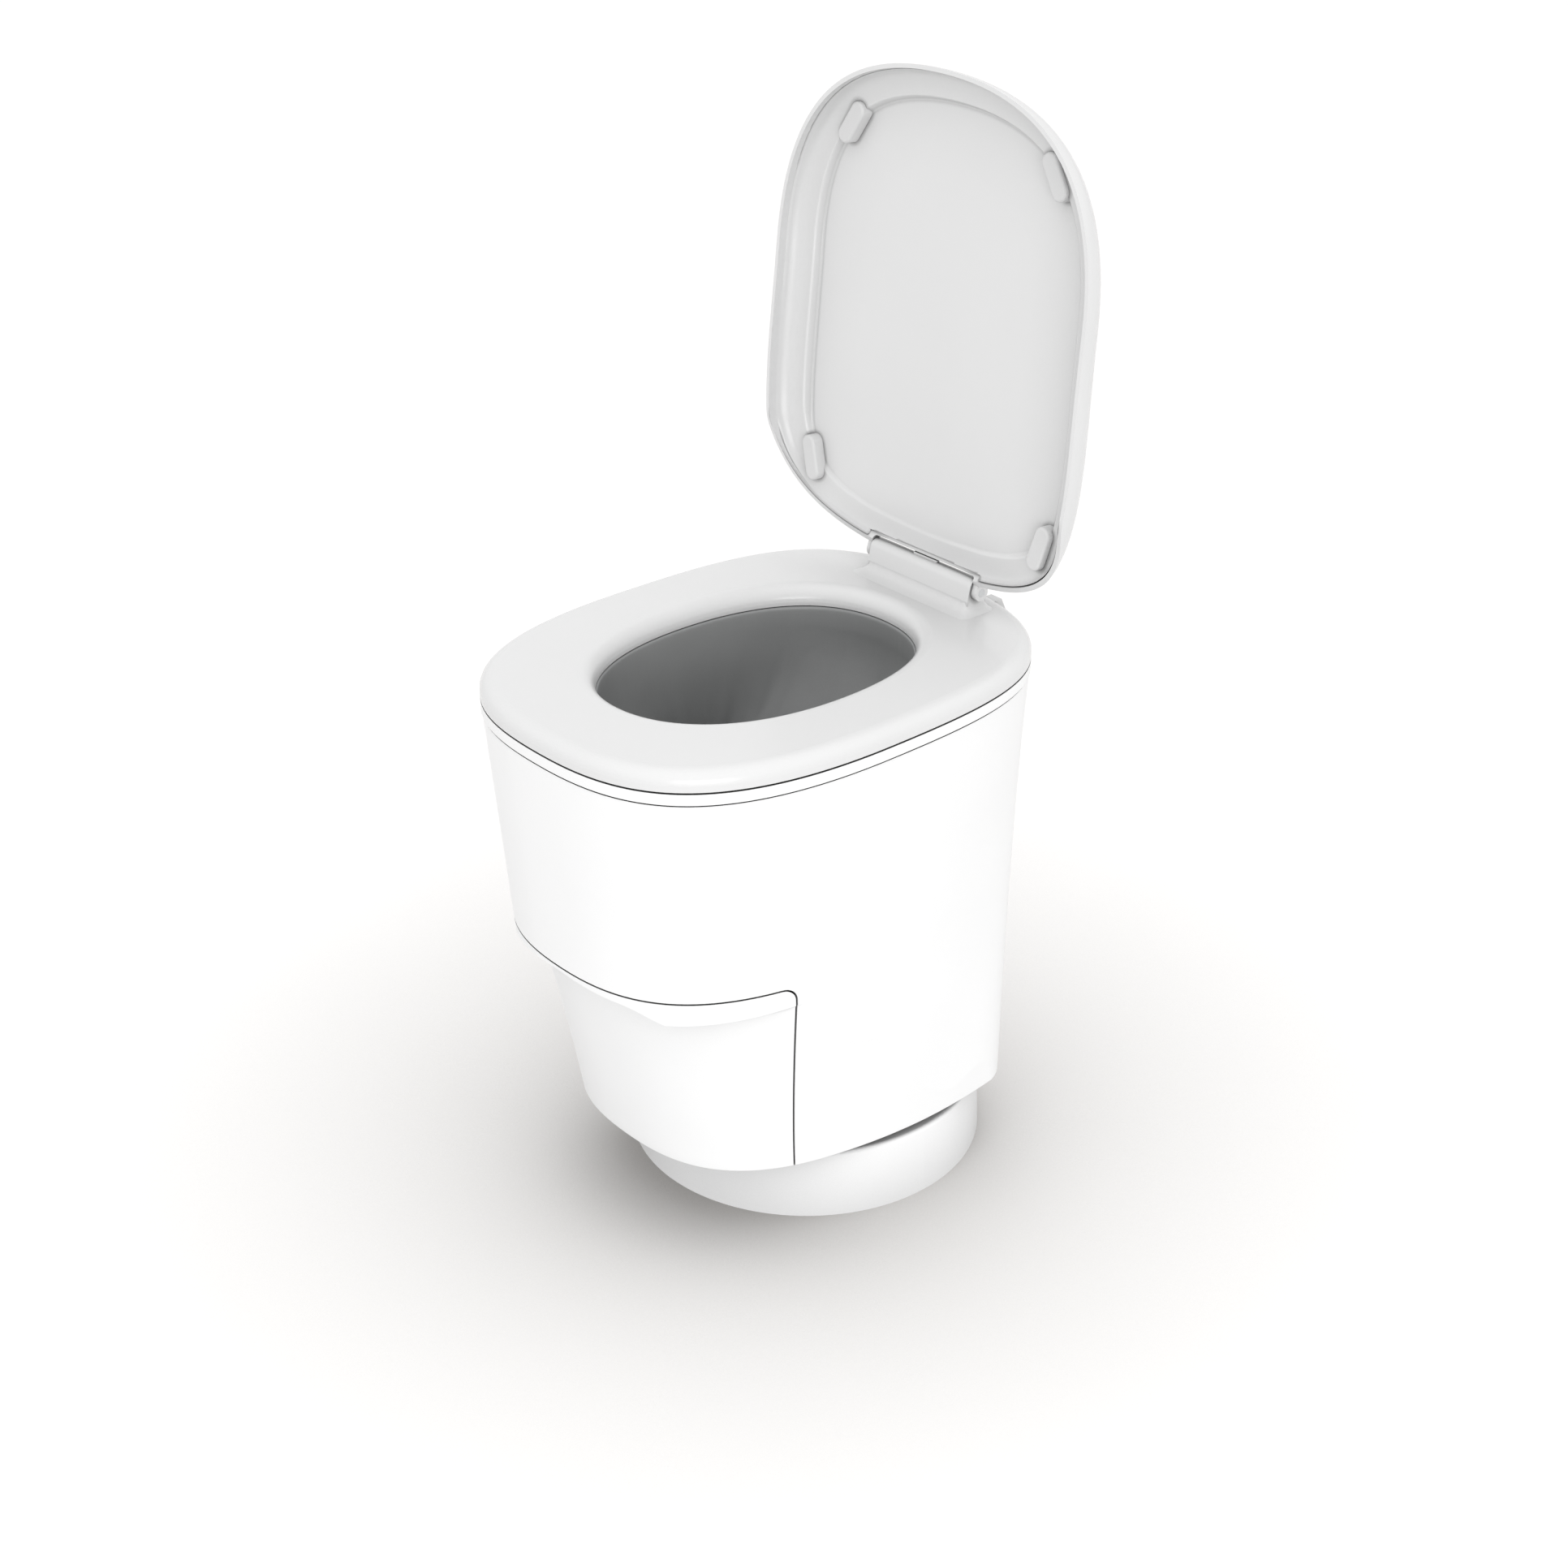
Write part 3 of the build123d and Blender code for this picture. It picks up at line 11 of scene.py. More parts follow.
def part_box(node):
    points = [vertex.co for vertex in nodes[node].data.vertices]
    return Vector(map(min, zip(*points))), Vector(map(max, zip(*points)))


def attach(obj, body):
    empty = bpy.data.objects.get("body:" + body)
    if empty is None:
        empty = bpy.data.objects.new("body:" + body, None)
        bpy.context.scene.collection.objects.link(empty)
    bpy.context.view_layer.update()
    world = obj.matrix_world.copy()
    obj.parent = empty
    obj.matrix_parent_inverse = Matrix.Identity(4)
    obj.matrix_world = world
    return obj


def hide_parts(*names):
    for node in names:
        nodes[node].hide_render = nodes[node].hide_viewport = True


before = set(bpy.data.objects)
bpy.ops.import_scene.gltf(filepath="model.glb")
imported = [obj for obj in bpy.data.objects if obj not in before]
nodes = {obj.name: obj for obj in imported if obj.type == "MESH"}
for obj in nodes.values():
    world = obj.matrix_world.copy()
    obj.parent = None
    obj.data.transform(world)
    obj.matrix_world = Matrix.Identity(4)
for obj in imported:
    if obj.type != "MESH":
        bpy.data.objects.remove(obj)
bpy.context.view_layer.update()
MM = 0.001


# Colours and nodes

# Sockets of a colour mix, by number because other sockets have the same names
MIX_A = 6
MIX_B = 7
MIX_RESULT = 2


def linear(code):
    """An sRGB hex colour as linear red, green, blue and alpha."""
    parts = [int(code[start:start + 2], 16) / 255 for start in (1, 3, 5)]
    return [p / 12.92 if p <= 0.04045 else ((p + 0.055) / 1.055) ** 2.4 for p in parts] + [1.0]


def put(tree, kind, inputs=None, **settings):
    """Adds a node with its settings. An input is a value, or a socket to link to."""
    node = tree.nodes.new(kind)
    for name, value in settings.items():
        setattr(node, name, value)
    for socket, value in (inputs or {}).items():
        if isinstance(value, bpy.types.NodeSocket):
            tree.links.new(value, node.inputs[socket])
        else:
            node.inputs[socket].default_value = value
    return node


def start_material(name, ior=1.5, metallic=0.0, coat=0.0, coat_roughness=0.1, sheen=0.0):
    """A new material with its shader, and the place on the piece that its patterns follow."""
    material = bpy.data.materials.new(name)
    material.use_nodes = True
    tree = material.node_tree
    tree.nodes.clear()
    shader = put(tree, "ShaderNodeBsdfPrincipled", {
        "IOR": ior,
        "Metallic": metallic,
        "Coat Weight": coat,
        "Coat Roughness": coat_roughness,
        "Sheen Weight": sheen,
    })
    put(tree, "ShaderNodeOutputMaterial", {"Surface": shader.outputs["BSDF"]})
    place = put(tree, "ShaderNodeTexCoord").outputs["Object"]
    return material, tree, shader, place


def noise(tree, place, size, detail=2.0, stretch=(1, 1, 1)):
    """Cloudy pattern from 0 to 1 whose blobs are about one size, in millimetres, across."""
    spot = put(tree, "ShaderNodeMapping", {"Vector": place, "Scale": stretch})
    cloud = put(tree, "ShaderNodeTexNoise", {
        "Vector": spot.outputs["Vector"],
        "Scale": 1 / (size * MM),
        "Detail": detail,
    })
    return cloud.outputs["Fac"]


def spread(tree, factor, low, high):
    """Maps 0 to 1 onto a range."""
    mapped = put(tree, "ShaderNodeMapRange", {"Value": factor, "To Min": low, "To Max": high})
    return mapped.outputs["Result"]


def tint(tree, factor, dark, light):
    """Mixes two hex colours by a factor."""
    inputs = {"Factor": factor, MIX_A: linear(dark), MIX_B: linear(light)}
    return put(tree, "ShaderNodeMix", inputs, data_type="RGBA").outputs[MIX_RESULT]


def finish_material(tree, shader, colour, roughness, height=None, depth=0.0):
    """Links colour and roughness, and a bump whose depth is in millimetres."""
    tree.links.new(colour, shader.inputs["Base Color"])
    tree.links.new(roughness, shader.inputs["Roughness"])
    if height is not None:
        bump = put(tree, "ShaderNodeBump", {"Height": height, "Strength": 1.0, "Distance": depth * MM})
        tree.links.new(bump.outputs["Normal"], shader.inputs["Normal"])


def paint_shade(tree, colour, reach, shade, share):
    """Paints shade into a colour where a surface within reach, in millimetres, shuts out the light.

    A fully shut-in spot keeps the given share of its own colour. A share below 0 strengthens the effect.
    """
    openness = put(tree, "ShaderNodeAmbientOcclusion", {"Distance": reach * MM}, samples=6).outputs["AO"]
    inputs = {"Factor": spread(tree, openness, share, 1.0), MIX_A: linear(shade), MIX_B: colour}
    return put(tree, "ShaderNodeMix", inputs, data_type="RGBA").outputs[MIX_RESULT]


def polymer(name, dark, light, roughness, grain, depth, ior=1.5, coat=0.0, sheen=0.0, painted_shades=()):
    """Moulded polymer: clouded colour over decimetres, a surface grain of one size, and any painted shade
    that is listed.
    """
    material, tree, shader, place = start_material(name, ior=ior, coat=coat, sheen=sheen)
    cloud = noise(tree, place, 90, detail=3)
    surface = noise(tree, place, grain, detail=3)
    rub = noise(tree, place, 26, detail=4)
    colour = tint(tree, cloud, dark, light)
    # Painted shade: each entry darkens the colour where nearby surfaces shut out the light.
    for reach, shade, share in painted_shades:
        colour = paint_shade(tree, colour, reach, shade, share)
    shine = spread(tree, rub, roughness * 0.86, roughness * 1.14)
    finish_material(tree, shader, colour, shine, surface, depth)
    return material


# Materials, each from what the real one is


def asa_shell():
    """ASA moulded in a polished tool: even white, a soft gloss and a faint ripple, with painted shade under
    and between parts and dark painted shade in the narrow gaps.
    """
    # Painted shade: a broad darkening within 90 mm, and dark lines in the gaps within 5 mm.
    return polymer("asa_shell", "#F5F5F5", "#F9F9F9", 0.30, 7, 0.010, ior=1.52,
                   painted_shades=[(90, "#8C8C8C", 0.25), (5, "#3C3C3C", -0.35)])


def asa_base():
    """The same ASA on the foot, with the broad painted shade but no painted shade in narrow gaps, since it
    stands on the floor.
    """
    # Painted shade: a broad darkening within 90 mm, under the body.
    return polymer("asa_base", "#F5F5F5", "#F9F9F9", 0.30, 7, 0.010, ior=1.52,
                   painted_shades=[(90, "#8C8C8C", 0.25)])


def urea_seat():
    """Urea moulding compound, pressed and buffed: harder and glossier than the shell, with painted shade
    under and between parts and in the narrow gaps.
    """
    # Painted shade: a broad darkening within 90 mm, and dark lines in the gaps within 5 mm.
    return polymer("urea_seat", "#E0E0E0", "#E3E3E3", 0.24, 9, 0.008, ior=1.55,
                   painted_shades=[(90, "#9A9A9A", 0.2), (5, "#3C3C3C", -0.35)])


def tpe_bumper():
    """Thermoplastic elastomer, satin tool: soft sheen and a close grain."""
    return polymer("tpe_bumper", "#D6D6D6", "#DBDBDB", 0.55, 0.8, 0.02, ior=1.49, sheen=0.15)


def nylon_frame():
    """Glass-filled nylon: charcoal with a dry, slightly streaked surface."""
    return polymer("nylon_frame", "#33353A", "#3F4146", 0.52, 1.1, 0.03, ior=1.53)


def abs_dark():
    """ABS with a spark-eroded texture, near black."""
    return polymer("abs_dark", "#17181A", "#1F2022", 0.48, 0.9, 0.04, ior=1.53)


def acetal_natural():
    """Acetal, machined and moulded: waxy off-white."""
    return polymer("acetal_natural", "#E2DFD4", "#EBE8DE", 0.36, 2.5, 0.01, ior=1.48)


def hdpe_bin():
    """Injection-moulded HDPE: mid grey, waxy, with a broad ripple."""
    return polymer("hdpe_bin", "#54575A", "#5F6265", 0.44, 4, 0.05, ior=1.54)


def nitrile_rubber():
    """Moulded nitrile rubber: black with a dusty bloom."""
    return polymer("nitrile_rubber", "#181818", "#242423", 0.72, 0.7, 0.03, ior=1.52, sheen=0.1)


def silicone_pad():
    """Silicone rubber strip: brick red, soft and dull."""
    return polymer("silicone_pad", "#7E2C20", "#8D3527", 0.62, 0.9, 0.02, ior=1.41, sheen=0.1)


def barrier_film():
    """Co-extruded barrier film, grey: satin, with painted shade in the deep of the bowl, and creases drawn
    down the bowl.
    """
    material, tree, shader, place = start_material("barrier_film", ior=1.5, coat=0.15, coat_roughness=0.3)
    cloud = noise(tree, place, 60, detail=3)
    crease = noise(tree, place, 14, detail=4, stretch=(1, 1, 0.12))
    grain = noise(tree, place, 1.6, detail=2)
    # Painted shade: the colour darkens where the bowl's walls shut out the light.
    colour = paint_shade(tree, tint(tree, cloud, "#8F9090", "#9B9C9C"), 130, "#4E4F50", -0.1)
    shine = spread(tree, crease, 0.30, 0.46)
    height = put(tree, "ShaderNodeMath", {0: crease, 1: spread(tree, grain, 0.0, 0.08)}, operation="ADD")
    finish_material(tree, shader, colour, shine, height.outputs[0], 0.35)
    return material


def machined_metal(name, dark, light, roughness, stretch):
    """Bare metal with tool lines about 0.6 mm apart, coarser than real ones so that they show."""
    material, tree, shader, place = start_material(name, metallic=1.0)
    lines = noise(tree, place, 0.6, detail=2, stretch=stretch)
    cloud = noise(tree, place, 30, detail=3)
    colour = tint(tree, cloud, dark, light)
    shine = spread(tree, lines, roughness * 0.75, roughness * 1.3)
    finish_material(tree, shader, colour, shine, lines, 0.01)
    return material


def stainless_steel():
    """Ground stainless steel: bright, with grinding lines from front to back, as the rods lie."""
    return machined_metal("stainless_steel", "#B9BBBD", "#CDCFD0", 0.24, (1, 0.08, 1))


def milled_aluminium():
    """Milled aluminium plate and bar: pale grey, with cutter lines across the toilet's width."""
    return machined_metal("milled_aluminium", "#C3C5C8", "#D5D7D9", 0.36, (0.08, 1, 1))


def turned_brass():
    """Bearing brass: warm yellow, with fine upright lines."""
    return machined_metal("turned_brass", "#B8924A", "#CDA95E", 0.28, (1, 1, 0.1))


def motor_can():
    """Powder-coated steel can: black with a fine orange peel."""
    return polymer("motor_can", "#141517", "#1B1C1E", 0.42, 1.2, 0.05, ior=1.5, coat=0.2)


# A band pattern repeats at this distance at scale 1, and the cloth's threads at this one in millimetres
BAND_STEP = 2 * math.pi / 20
THREAD_STEP = 5.03


def ptfe_glass_cloth():
    """PTFE-coated glass cloth over the welding strip: amber brown, dull, in a plain weave.

    The threads are drawn 5 mm apart, coarser than real ones so that they show.
    """
    material, tree, shader, place = start_material("ptfe_glass_cloth", ior=1.38)
    threads = []
    for axis in ("X", "Z"):
        wave = put(tree, "ShaderNodeTexWave", {
            "Vector": place,
            "Scale": BAND_STEP / (THREAD_STEP * MM),
        }, wave_type="BANDS", bands_direction=axis)
        threads.append(wave.outputs["Fac"])
    weave = put(tree, "ShaderNodeMath", {0: threads[0], 1: threads[1]}, operation="MULTIPLY").outputs[0]
    colour = tint(tree, weave, "#5E4526", "#8C6C3F")
    finish_material(tree, shader, colour, spread(tree, weave, 0.5, 0.36), weave, 0.05)
    return material


def solder_mask():
    """Glass-epoxy board under green solder mask, glossy, with paler tracks about 4 mm apart."""
    material, tree, shader, place = start_material("solder_mask", ior=1.55, coat=0.4)
    tracks = put(tree, "ShaderNodeTexVoronoi", {
        "Vector": place,
        "Scale": 1 / (4 * MM),
    }, distance="MANHATTAN", feature="F1").outputs["Distance"]
    sharp = put(tree, "ShaderNodeMath", {0: tracks, 1: 0.55}, operation="GREATER_THAN").outputs[0]
    colour = tint(tree, sharp, "#0E4A26", "#1C6B3A")
    finish_material(tree, shader, colour, spread(tree, sharp, 0.3, 0.4), sharp, 0.03)
    return material


FINISHES = {
    asa_base: ["base_pedestal"],
    asa_shell: ["body_casing", "front_door", "collar_ring"],
    urea_seat: ["seat_ring", "release_tab", "lid_shell"],
    tpe_bumper: ["lid_bumpers"],
    nylon_frame: ["chassis_plate", "upper_frame", "bowl_funnel", "cassette_tray", "cassette_cover",
                  "drawer_carriage"],
    abs_dark: ["control_box", "board_cover", "power_inlet"],
    acetal_natural: ["swivel_ring", "drive_pinion", "idler_pinion", "drawer_rails"],
    hdpe_bin: ["waste_bin"],
    nitrile_rubber: ["seat_buffers", "front_feed_roller", "rear_feed_roller"],
    silicone_pad: ["rear_seal_pad"],
    barrier_film: ["liner_sleeve", "liner_stack"],
    stainless_steel: ["swivel_retainer", "retainer_screws", "casing_screws", "seat_hinge_pins", "hinge_pins",
                      "guide_rods"],
    milled_aluminium: ["frame_posts", "front_hangers", "sealer_deck", "rod_blocks", "front_jaw_bar",
                       "rear_jaw_bar"],
    turned_brass: ["pinion_bushes"],
    motor_can: ["jaw_motor", "feed_motor"],
    ptfe_glass_cloth: ["front_heater"],
    solder_mask: ["control_board"],
}


def dress_nodes():
    """Gives every CAD node the material of the real piece, and returns the materials."""
    made = {}
    for make, names in FINISHES.items():
        made[make] = make()
        for name in names:
            node = nodes[name]
            node.data.materials.clear()
            node.data.materials.append(made[make])
    return made


# Film: the liner that hangs in the funnel, and its folded stock in the cassette

SLOT_Y = -60.0
MOUTH_LEVEL = 507.0
WALL_TOP = 505.0
GATHERS_TOP = 495.0
FUNNEL_FOOT = 366.0
WALL_STEPS = 62
FILM_GAP = 1.1
GATHER_DEPTH = 4.2
GATHER_FADE = 0.35
# The hem's rings: how far each lies outside the funnel's mouth, and its level
HEM = ((6.0, 508.8), (5.2, 509.8), (3.8, 510.8), (2.0, 511.5), (0.6, 511.7), (-0.4, 511.2), (-0.9, 510.2),
       (-1.1, 508.5))
# The rings below the funnel: the level of each, and the share of its depth that is left
SEAM = ((363.5, 0.80), (361.5, 0.58), (359.5, 0.36), (357.5, 0.22), (355, 0.12), (352, 0.06), (348, 0.035),
        (343, 0.03), (338, 0.03), (334, 0.0))

PLEATS = 22
PLEAT_SLACK = 1.6
PLEAT_SAG = 0.35
INNER_GAP = 0.8
OUTER_GAP = 1.4
# Farther than the inner wall is thick, so that the next wall met is the outer one
PAST_WALL = 5

COLUMNS = 288
TURNS = [2 * math.pi * i / COLUMNS for i in range(COLUMNS)]


def node_skin(name):
    """A CAD node's faces, ready for rays."""
    mesh = nodes[name].data
    corners = [vertex.co.copy() for vertex in mesh.vertices]
    return BVHTree.FromPolygons(corners, [tuple(face.vertices) for face in mesh.polygons])


def wall_finder(name):
    """A function that gives how far a node's wall lies from the slot's middle, in millimetres."""
    skin = node_skin(name)

    def reach(level, angle, start=0.0):
        ray = Vector((math.cos(angle), math.sin(angle), 0))
        spot = Vector((0, SLOT_Y, level)) * MM + ray * start * MM
        hit = skin.ray_cast(spot, ray)
        return start + hit[3] / MM if hit[0] is not None else None

    return reach


def oval_angles(reach, level):
    """Directions that spread points evenly round an oval wall at a level."""
    half_x = reach(level, 0.0)
    half_y = reach(level, math.pi / 2)
    return [math.atan2(half_y * math.sin(turn), half_x * math.cos(turn)) for turn in TURNS]


def round_slot(angle, distance, level):
    """The point in a direction and at a distance from the slot's middle, in millimetres."""
    return (distance * math.cos(angle), SLOT_Y + distance * math.sin(angle), level)


def fold_wave(turn, drift):
    """Uneven gathers round the film, from 0 to 1."""
    wave = math.sin(17 * turn + 1.3 + 2.1 * drift) + 0.7 * math.sin(29 * turn + 4.0 - 1.6 * drift)
    wave += 0.5 * math.sin(43 * turn + 0.4 + drift)
    return max(0.0, min(1.0, 0.5 + wave / 4.4))


def smooth_piece(name, mesh, material):
    """Puts a mesh into the scene as a smooth piece of one material."""
    for face in mesh.polygons:
        face.use_smooth = True
    mesh.materials.append(material)
    piece = bpy.data.objects.new(name, mesh)
    bpy.context.collection.objects.link(piece)
    return piece


def film_piece(name, rows, material):
    """A piece of film whose rows are rings of points in millimetres, joined into a skin."""
    corners = [tuple(value * MM for value in point) for row in rows for point in row]
    faces = []
    for step in range(len(rows) - 1):
        here = step * COLUMNS
        below = here + COLUMNS
        for i in range(COLUMNS):
            after = (i + 1) % COLUMNS
            faces.append((here + i, here + after, below + after, below + i))
    mesh = bpy.data.meshes.new(name)
    mesh.from_pydata(corners, [], faces)
    return smooth_piece(name, mesh, material)


def film_rows(reach):
    """Rings of the film from its hem on the funnel's rim to the end of the flat seam under the slot."""

    def outline(level):
        return [(angle, reach(level, angle)) for angle in oval_angles(reach, level)]

    mouth = outline(MOUTH_LEVEL)
    rows = [[round_slot(angle, wall + out, level) for angle, wall in mouth] for out, level in HEM]
    for step in range(WALL_STEPS + 1):
        share = step / WALL_STEPS
        level = WALL_TOP + (FUNNEL_FOOT - WALL_TOP) * share
        depth = max(0.0, (GATHERS_TOP - level) / (GATHERS_TOP - FUNNEL_FOOT))
        ring = []
        for turn, (angle, wall) in zip(TURNS, outline(level)):
            wave = fold_wave(turn, 1.5 * depth)
            gather = GATHER_DEPTH * depth ** 1.6 * wave * (1 - GATHER_FADE * share)
            ring.append(round_slot(angle, wall - (FILM_GAP + gather), level))
        rows.append(ring)
    foot = rows[-1]
    for level, left in SEAM:
        rows.append([(x, SLOT_Y + (y - SLOT_Y) * left, level) for x, y, _ in foot])
    return rows


def film_liner(material):
    """Grey film that laps the funnel rim, lines the bowl and closes in a flat seam between the jaws."""
    piece = film_piece("film_liner", film_rows(wall_finder("bowl_funnel")), material)
    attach(piece, "chassis")
    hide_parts("liner_sleeve")


def stock_rows(reach, low, high):
    """Rings of the unused film, in turn at the outer and the inner wall of the cassette."""
    middle = (low + high) / 2
    walls = []
    for turn, angle in zip(TURNS, oval_angles(reach, middle)):
        near = reach(middle, angle)
        walls.append((turn, angle, near, reach(middle, angle, near + PAST_WALL)))
    rows = []
    for fold in range(PLEATS + 1):
        level = low + INNER_GAP + (high - low - 2 * INNER_GAP) * fold / PLEATS
        ring = []
        for turn, angle, near, far in walls:
            slack = PLEAT_SLACK * fold_wave(turn + 0.13 * fold, fold)
            distance = far - OUTER_GAP - slack if fold % 2 else near + INNER_GAP + slack
            sag = PLEAT_SAG * math.sin(9 * turn + fold)
            ring.append(round_slot(angle, distance, level + sag))
        rows.append(ring)
    return rows


def film_stock(material):
    """Unused film in the cassette, gathered into a stack of pleats round the funnel."""
    low, high = (corner[2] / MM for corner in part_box("liner_stack"))
    piece = film_piece("film_stock", stock_rows(wall_finder("liner_stack"), low, high), material)
    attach(piece, "chassis")
    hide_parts("liner_stack")


# Lid: the moulded inner panel that the pads stand on, made closed and then turned open

LID_OPEN = math.radians(94.5)
HINGE_Y, HINGE_Z = 150.0, 550.0
LID_MIDDLE_Y = -78.0
LID_RIM = 511.8
FRONT_BEND, FRONT_SLOPE = -40.0, 0.02
REAR_BEND, REAR_SLOPE = 46.0, 0.335
PANEL_FLOOR = 543.6
PANEL_DEPTH = PANEL_FLOOR - LID_RIM
LEDGE_RISE = 23.0
LEDGE_WIDTH = 24.0
STEP_WIDTH = 4.5
COVE_POWER = 2.6
# Where the rim rises, the floor stays FLOOR_OVER_RIM above it, and turns up over about FLOOR_BLEND
FLOOR_OVER_RIM = 7
FLOOR_BLEND = 4
NOTCH_HALF = 74.3
NOTCH_FRONT = 131.0
NOTCH_TOP = 549.0
NOTCH_MARGIN = 4
REAR_CROWN = 4
# The panel's edge lies this far inside the lid's wall, and its middle this far under the dome
EDGE_IN_WALL = 0.3
SHELL_GAP = 0.5
# Rays run RAY_RISE above the rim, and those that follow its rise start at RISING_START
RAY_RISE = 1.8
RISING_START = REAR_BEND - 2
# The dome counts only within this height, because there is none over the notch
DOME_ROOM = 60
# A wall slants to the ray by no more than this, as a cosine
SLANT_LIMIT = 0.55
PANEL_COLUMNS = 300
# Distances in from the wall at which the panel has a ring of points
PANEL_RINGS = (0.0, 0.15, 0.5, 1.1, 2.0, 3.2, 4.8, 6.8, 9.2, 12.0, 15.0, 18.0, 21.0, 23.2, 24.0, 24.7, 25.5,
               26.4, 27.4, 28.5, 30.0, 33.0, 38.0, 52.0, 80.0, 115.0)


def opened(x, y, z):
    """Where a point of the closed lid is with the lid open, in metres."""
    along, up = y - HINGE_Y, z - HINGE_Z
    c, s = math.cos(-LID_OPEN), math.sin(-LID_OPEN)
    return Vector((x, HINGE_Y + along * c - up * s, HINGE_Z + along * s + up * c)) * MM


def lid_rim_level(y):
    """Level of the closed lid's rim: it lifts a little to the front and more to the hinge."""
    lift = max(0.0, REAR_SLOPE * (y - REAR_BEND), FRONT_SLOPE * (FRONT_BEND - y))
    return LID_RIM + lift


def lid_walls():
    """Functions that find the lid's wall in a direction from its middle, and the dome above a point."""
    skin = node_skin("lid_shell")

    def cast(start, way):
        spot = opened(*start)
        end = opened(*(here + step for here, step in zip(start, way)))
        hit = skin.ray_cast(spot, (end - spot).normalized())
        return hit[3] / MM / math.hypot(*way) if hit[0] is not None else None

    def wall(angle):
        across, along = math.cos(angle), math.sin(angle)
        slope = -along * FRONT_SLOPE if along < 0 else 0.0
        reach = cast((0, LID_MIDDLE_Y, LID_RIM + RAY_RISE), (across, along, slope))
        if along > 0 and (reach is None or LID_MIDDLE_Y + reach * along > REAR_BEND):
            start = (RISING_START - LID_MIDDLE_Y) / along
            spot = (start * across, RISING_START, LID_RIM + RAY_RISE)
            found = cast(spot, (across, along, REAR_SLOPE * along))
            reach = start + found if found is not None else None
        return reach

    def ceiling(x, y, z):
        found = cast((x, y, z), (0, 0, 1))
        return z + found if found is not None and found < DOME_ROOM else z + DOME_ROOM

    return wall, ceiling


def panel_rise(inward):
    """How far the panel lies above the rim: a cove over the seat's edge, a step, then the floor."""
    if inward <= LEDGE_WIDTH:
        left = 1 - inward / LEDGE_WIDTH
        return LEDGE_RISE * (1 - left ** COVE_POWER) ** (1 / COVE_POWER)
    share = min(1.0, (inward - LEDGE_WIDTH) / STEP_WIDTH)
    return LEDGE_RISE + (PANEL_DEPTH - LEDGE_RISE) * share * share * (3 - 2 * share) ** 0.8


def side_reaches(angles, wall):
    """The wall's distance at each angle, carried across the hinge notch in a shallow crown."""
    reaches = [wall(angle) for angle in angles]
    at_notch = []
    for i, (angle, reach) in enumerate(zip(angles, reaches)):
        side = abs((reach or 0.0) * math.cos(angle))
        if math.sin(angle) > 0 and (reach is None or side < NOTCH_HALF + NOTCH_MARGIN):
            at_notch.append(i)
    before = at_notch[0] - 1
    rear = reaches[before] * math.sin(angles[before])
    for i in at_notch:
        across = math.cos(angles[i]) / math.cos(angles[before])
        reaches[i] = (rear + REAR_CROWN * (1 - across * across)) / math.sin(angles[i])
    return reaches


def panel_rows():
    """Rings of the inner panel from the rim to the middle, for the closed lid."""
    wall, ceiling = lid_walls()
    count = PANEL_COLUMNS
    angles = [2 * math.pi * i / count for i in range(count)]
    reaches = side_reaches(angles, wall)
    rows = []
    for inward in PANEL_RINGS:
        rise = panel_rise(inward)
        ring = []
        for i, (angle, reach) in enumerate(zip(angles, reaches)):
            # A slanting wall is met at a slant, so a step in from it is longer along the ray
            slope = (reaches[(i + 1) % count] - reaches[i - 1]) / (4 * math.pi / count)
            straight = reach / math.hypot(reach, slope)
            distance = reach + EDGE_IN_WALL - inward / max(straight, SLANT_LIMIT)
            x = distance * math.cos(angle)
            y = LID_MIDDLE_Y + distance * math.sin(angle)
            rim = lid_rim_level(LID_MIDDLE_Y + reach * math.sin(angle))
            over = (lid_rim_level(y) + FLOOR_OVER_RIM - PANEL_FLOOR) / FLOOR_BLEND
            floor = PANEL_FLOOR + FLOOR_BLEND * math.log1p(math.exp(over))
            level = rim + rise * (floor - rim) / PANEL_DEPTH
            if inward > 1.0:
                level = min(level, ceiling(x, y, rim - 2) - SHELL_GAP)
            ring.append((x, y, level))
        rows.append(ring)
    return rows


def panel_skin(rows):
    """Joins the panel's rings into one skin, closed in the middle."""
    skin = bmesh.new()
    grid = [[skin.verts.new(point) for point in row] for row in rows]
    for outer, inner in zip(grid, grid[1:]):
        for i in range(PANEL_COLUMNS):
            after = (i + 1) % PANEL_COLUMNS
            skin.faces.new((outer[i], inner[i], inner[after], outer[after]))
    middle = skin.verts.new((0, LID_MIDDLE_Y, PANEL_FLOOR))
    last = grid[-1]
    for i in range(PANEL_COLUMNS):
        skin.faces.new((last[i], middle, last[(i + 1) % PANEL_COLUMNS]))
    return skin


def cut_notch(skin):
    """Cuts the hinge notch out of the panel and draws the cut's edge up against the dome."""
    front = ((0, NOTCH_FRONT, 0), (0, 1, 0))
    right = ((NOTCH_HALF, 0, 0), (1, 0, 0))
    left = ((-NOTCH_HALF, 0, 0), (1, 0, 0))
    for spot, way in (front, right, left):
        everything = skin.verts[:] + skin.edges[:] + skin.faces[:]
        bmesh.ops.bisect_plane(skin, geom=everything, plane_co=spot, plane_no=way, dist=1e-5)
    inside = []
    for face in skin.faces:
        centre = face.calc_center_median()
        if abs(centre.x) < NOTCH_HALF and centre.y > NOTCH_FRONT:
            inside.append(face)
    bmesh.ops.delete(skin, geom=inside, context="FACES")
    cut_edges = []
    for edge in skin.edges:
        centre = (edge.verts[0].co + edge.verts[1].co) / 2
        near = centre.y > NOTCH_FRONT - 0.01 and abs(centre.x) < NOTCH_HALF + 0.01
        if edge.is_boundary and near:
            cut_edges.append(edge)
    raised = bmesh.ops.extrude_edge_only(skin, edges=cut_edges)
    for part in raised["geom"]:
        if isinstance(part, bmesh.types.BMVert):
            part.co.z = max(part.co.z, NOTCH_TOP)


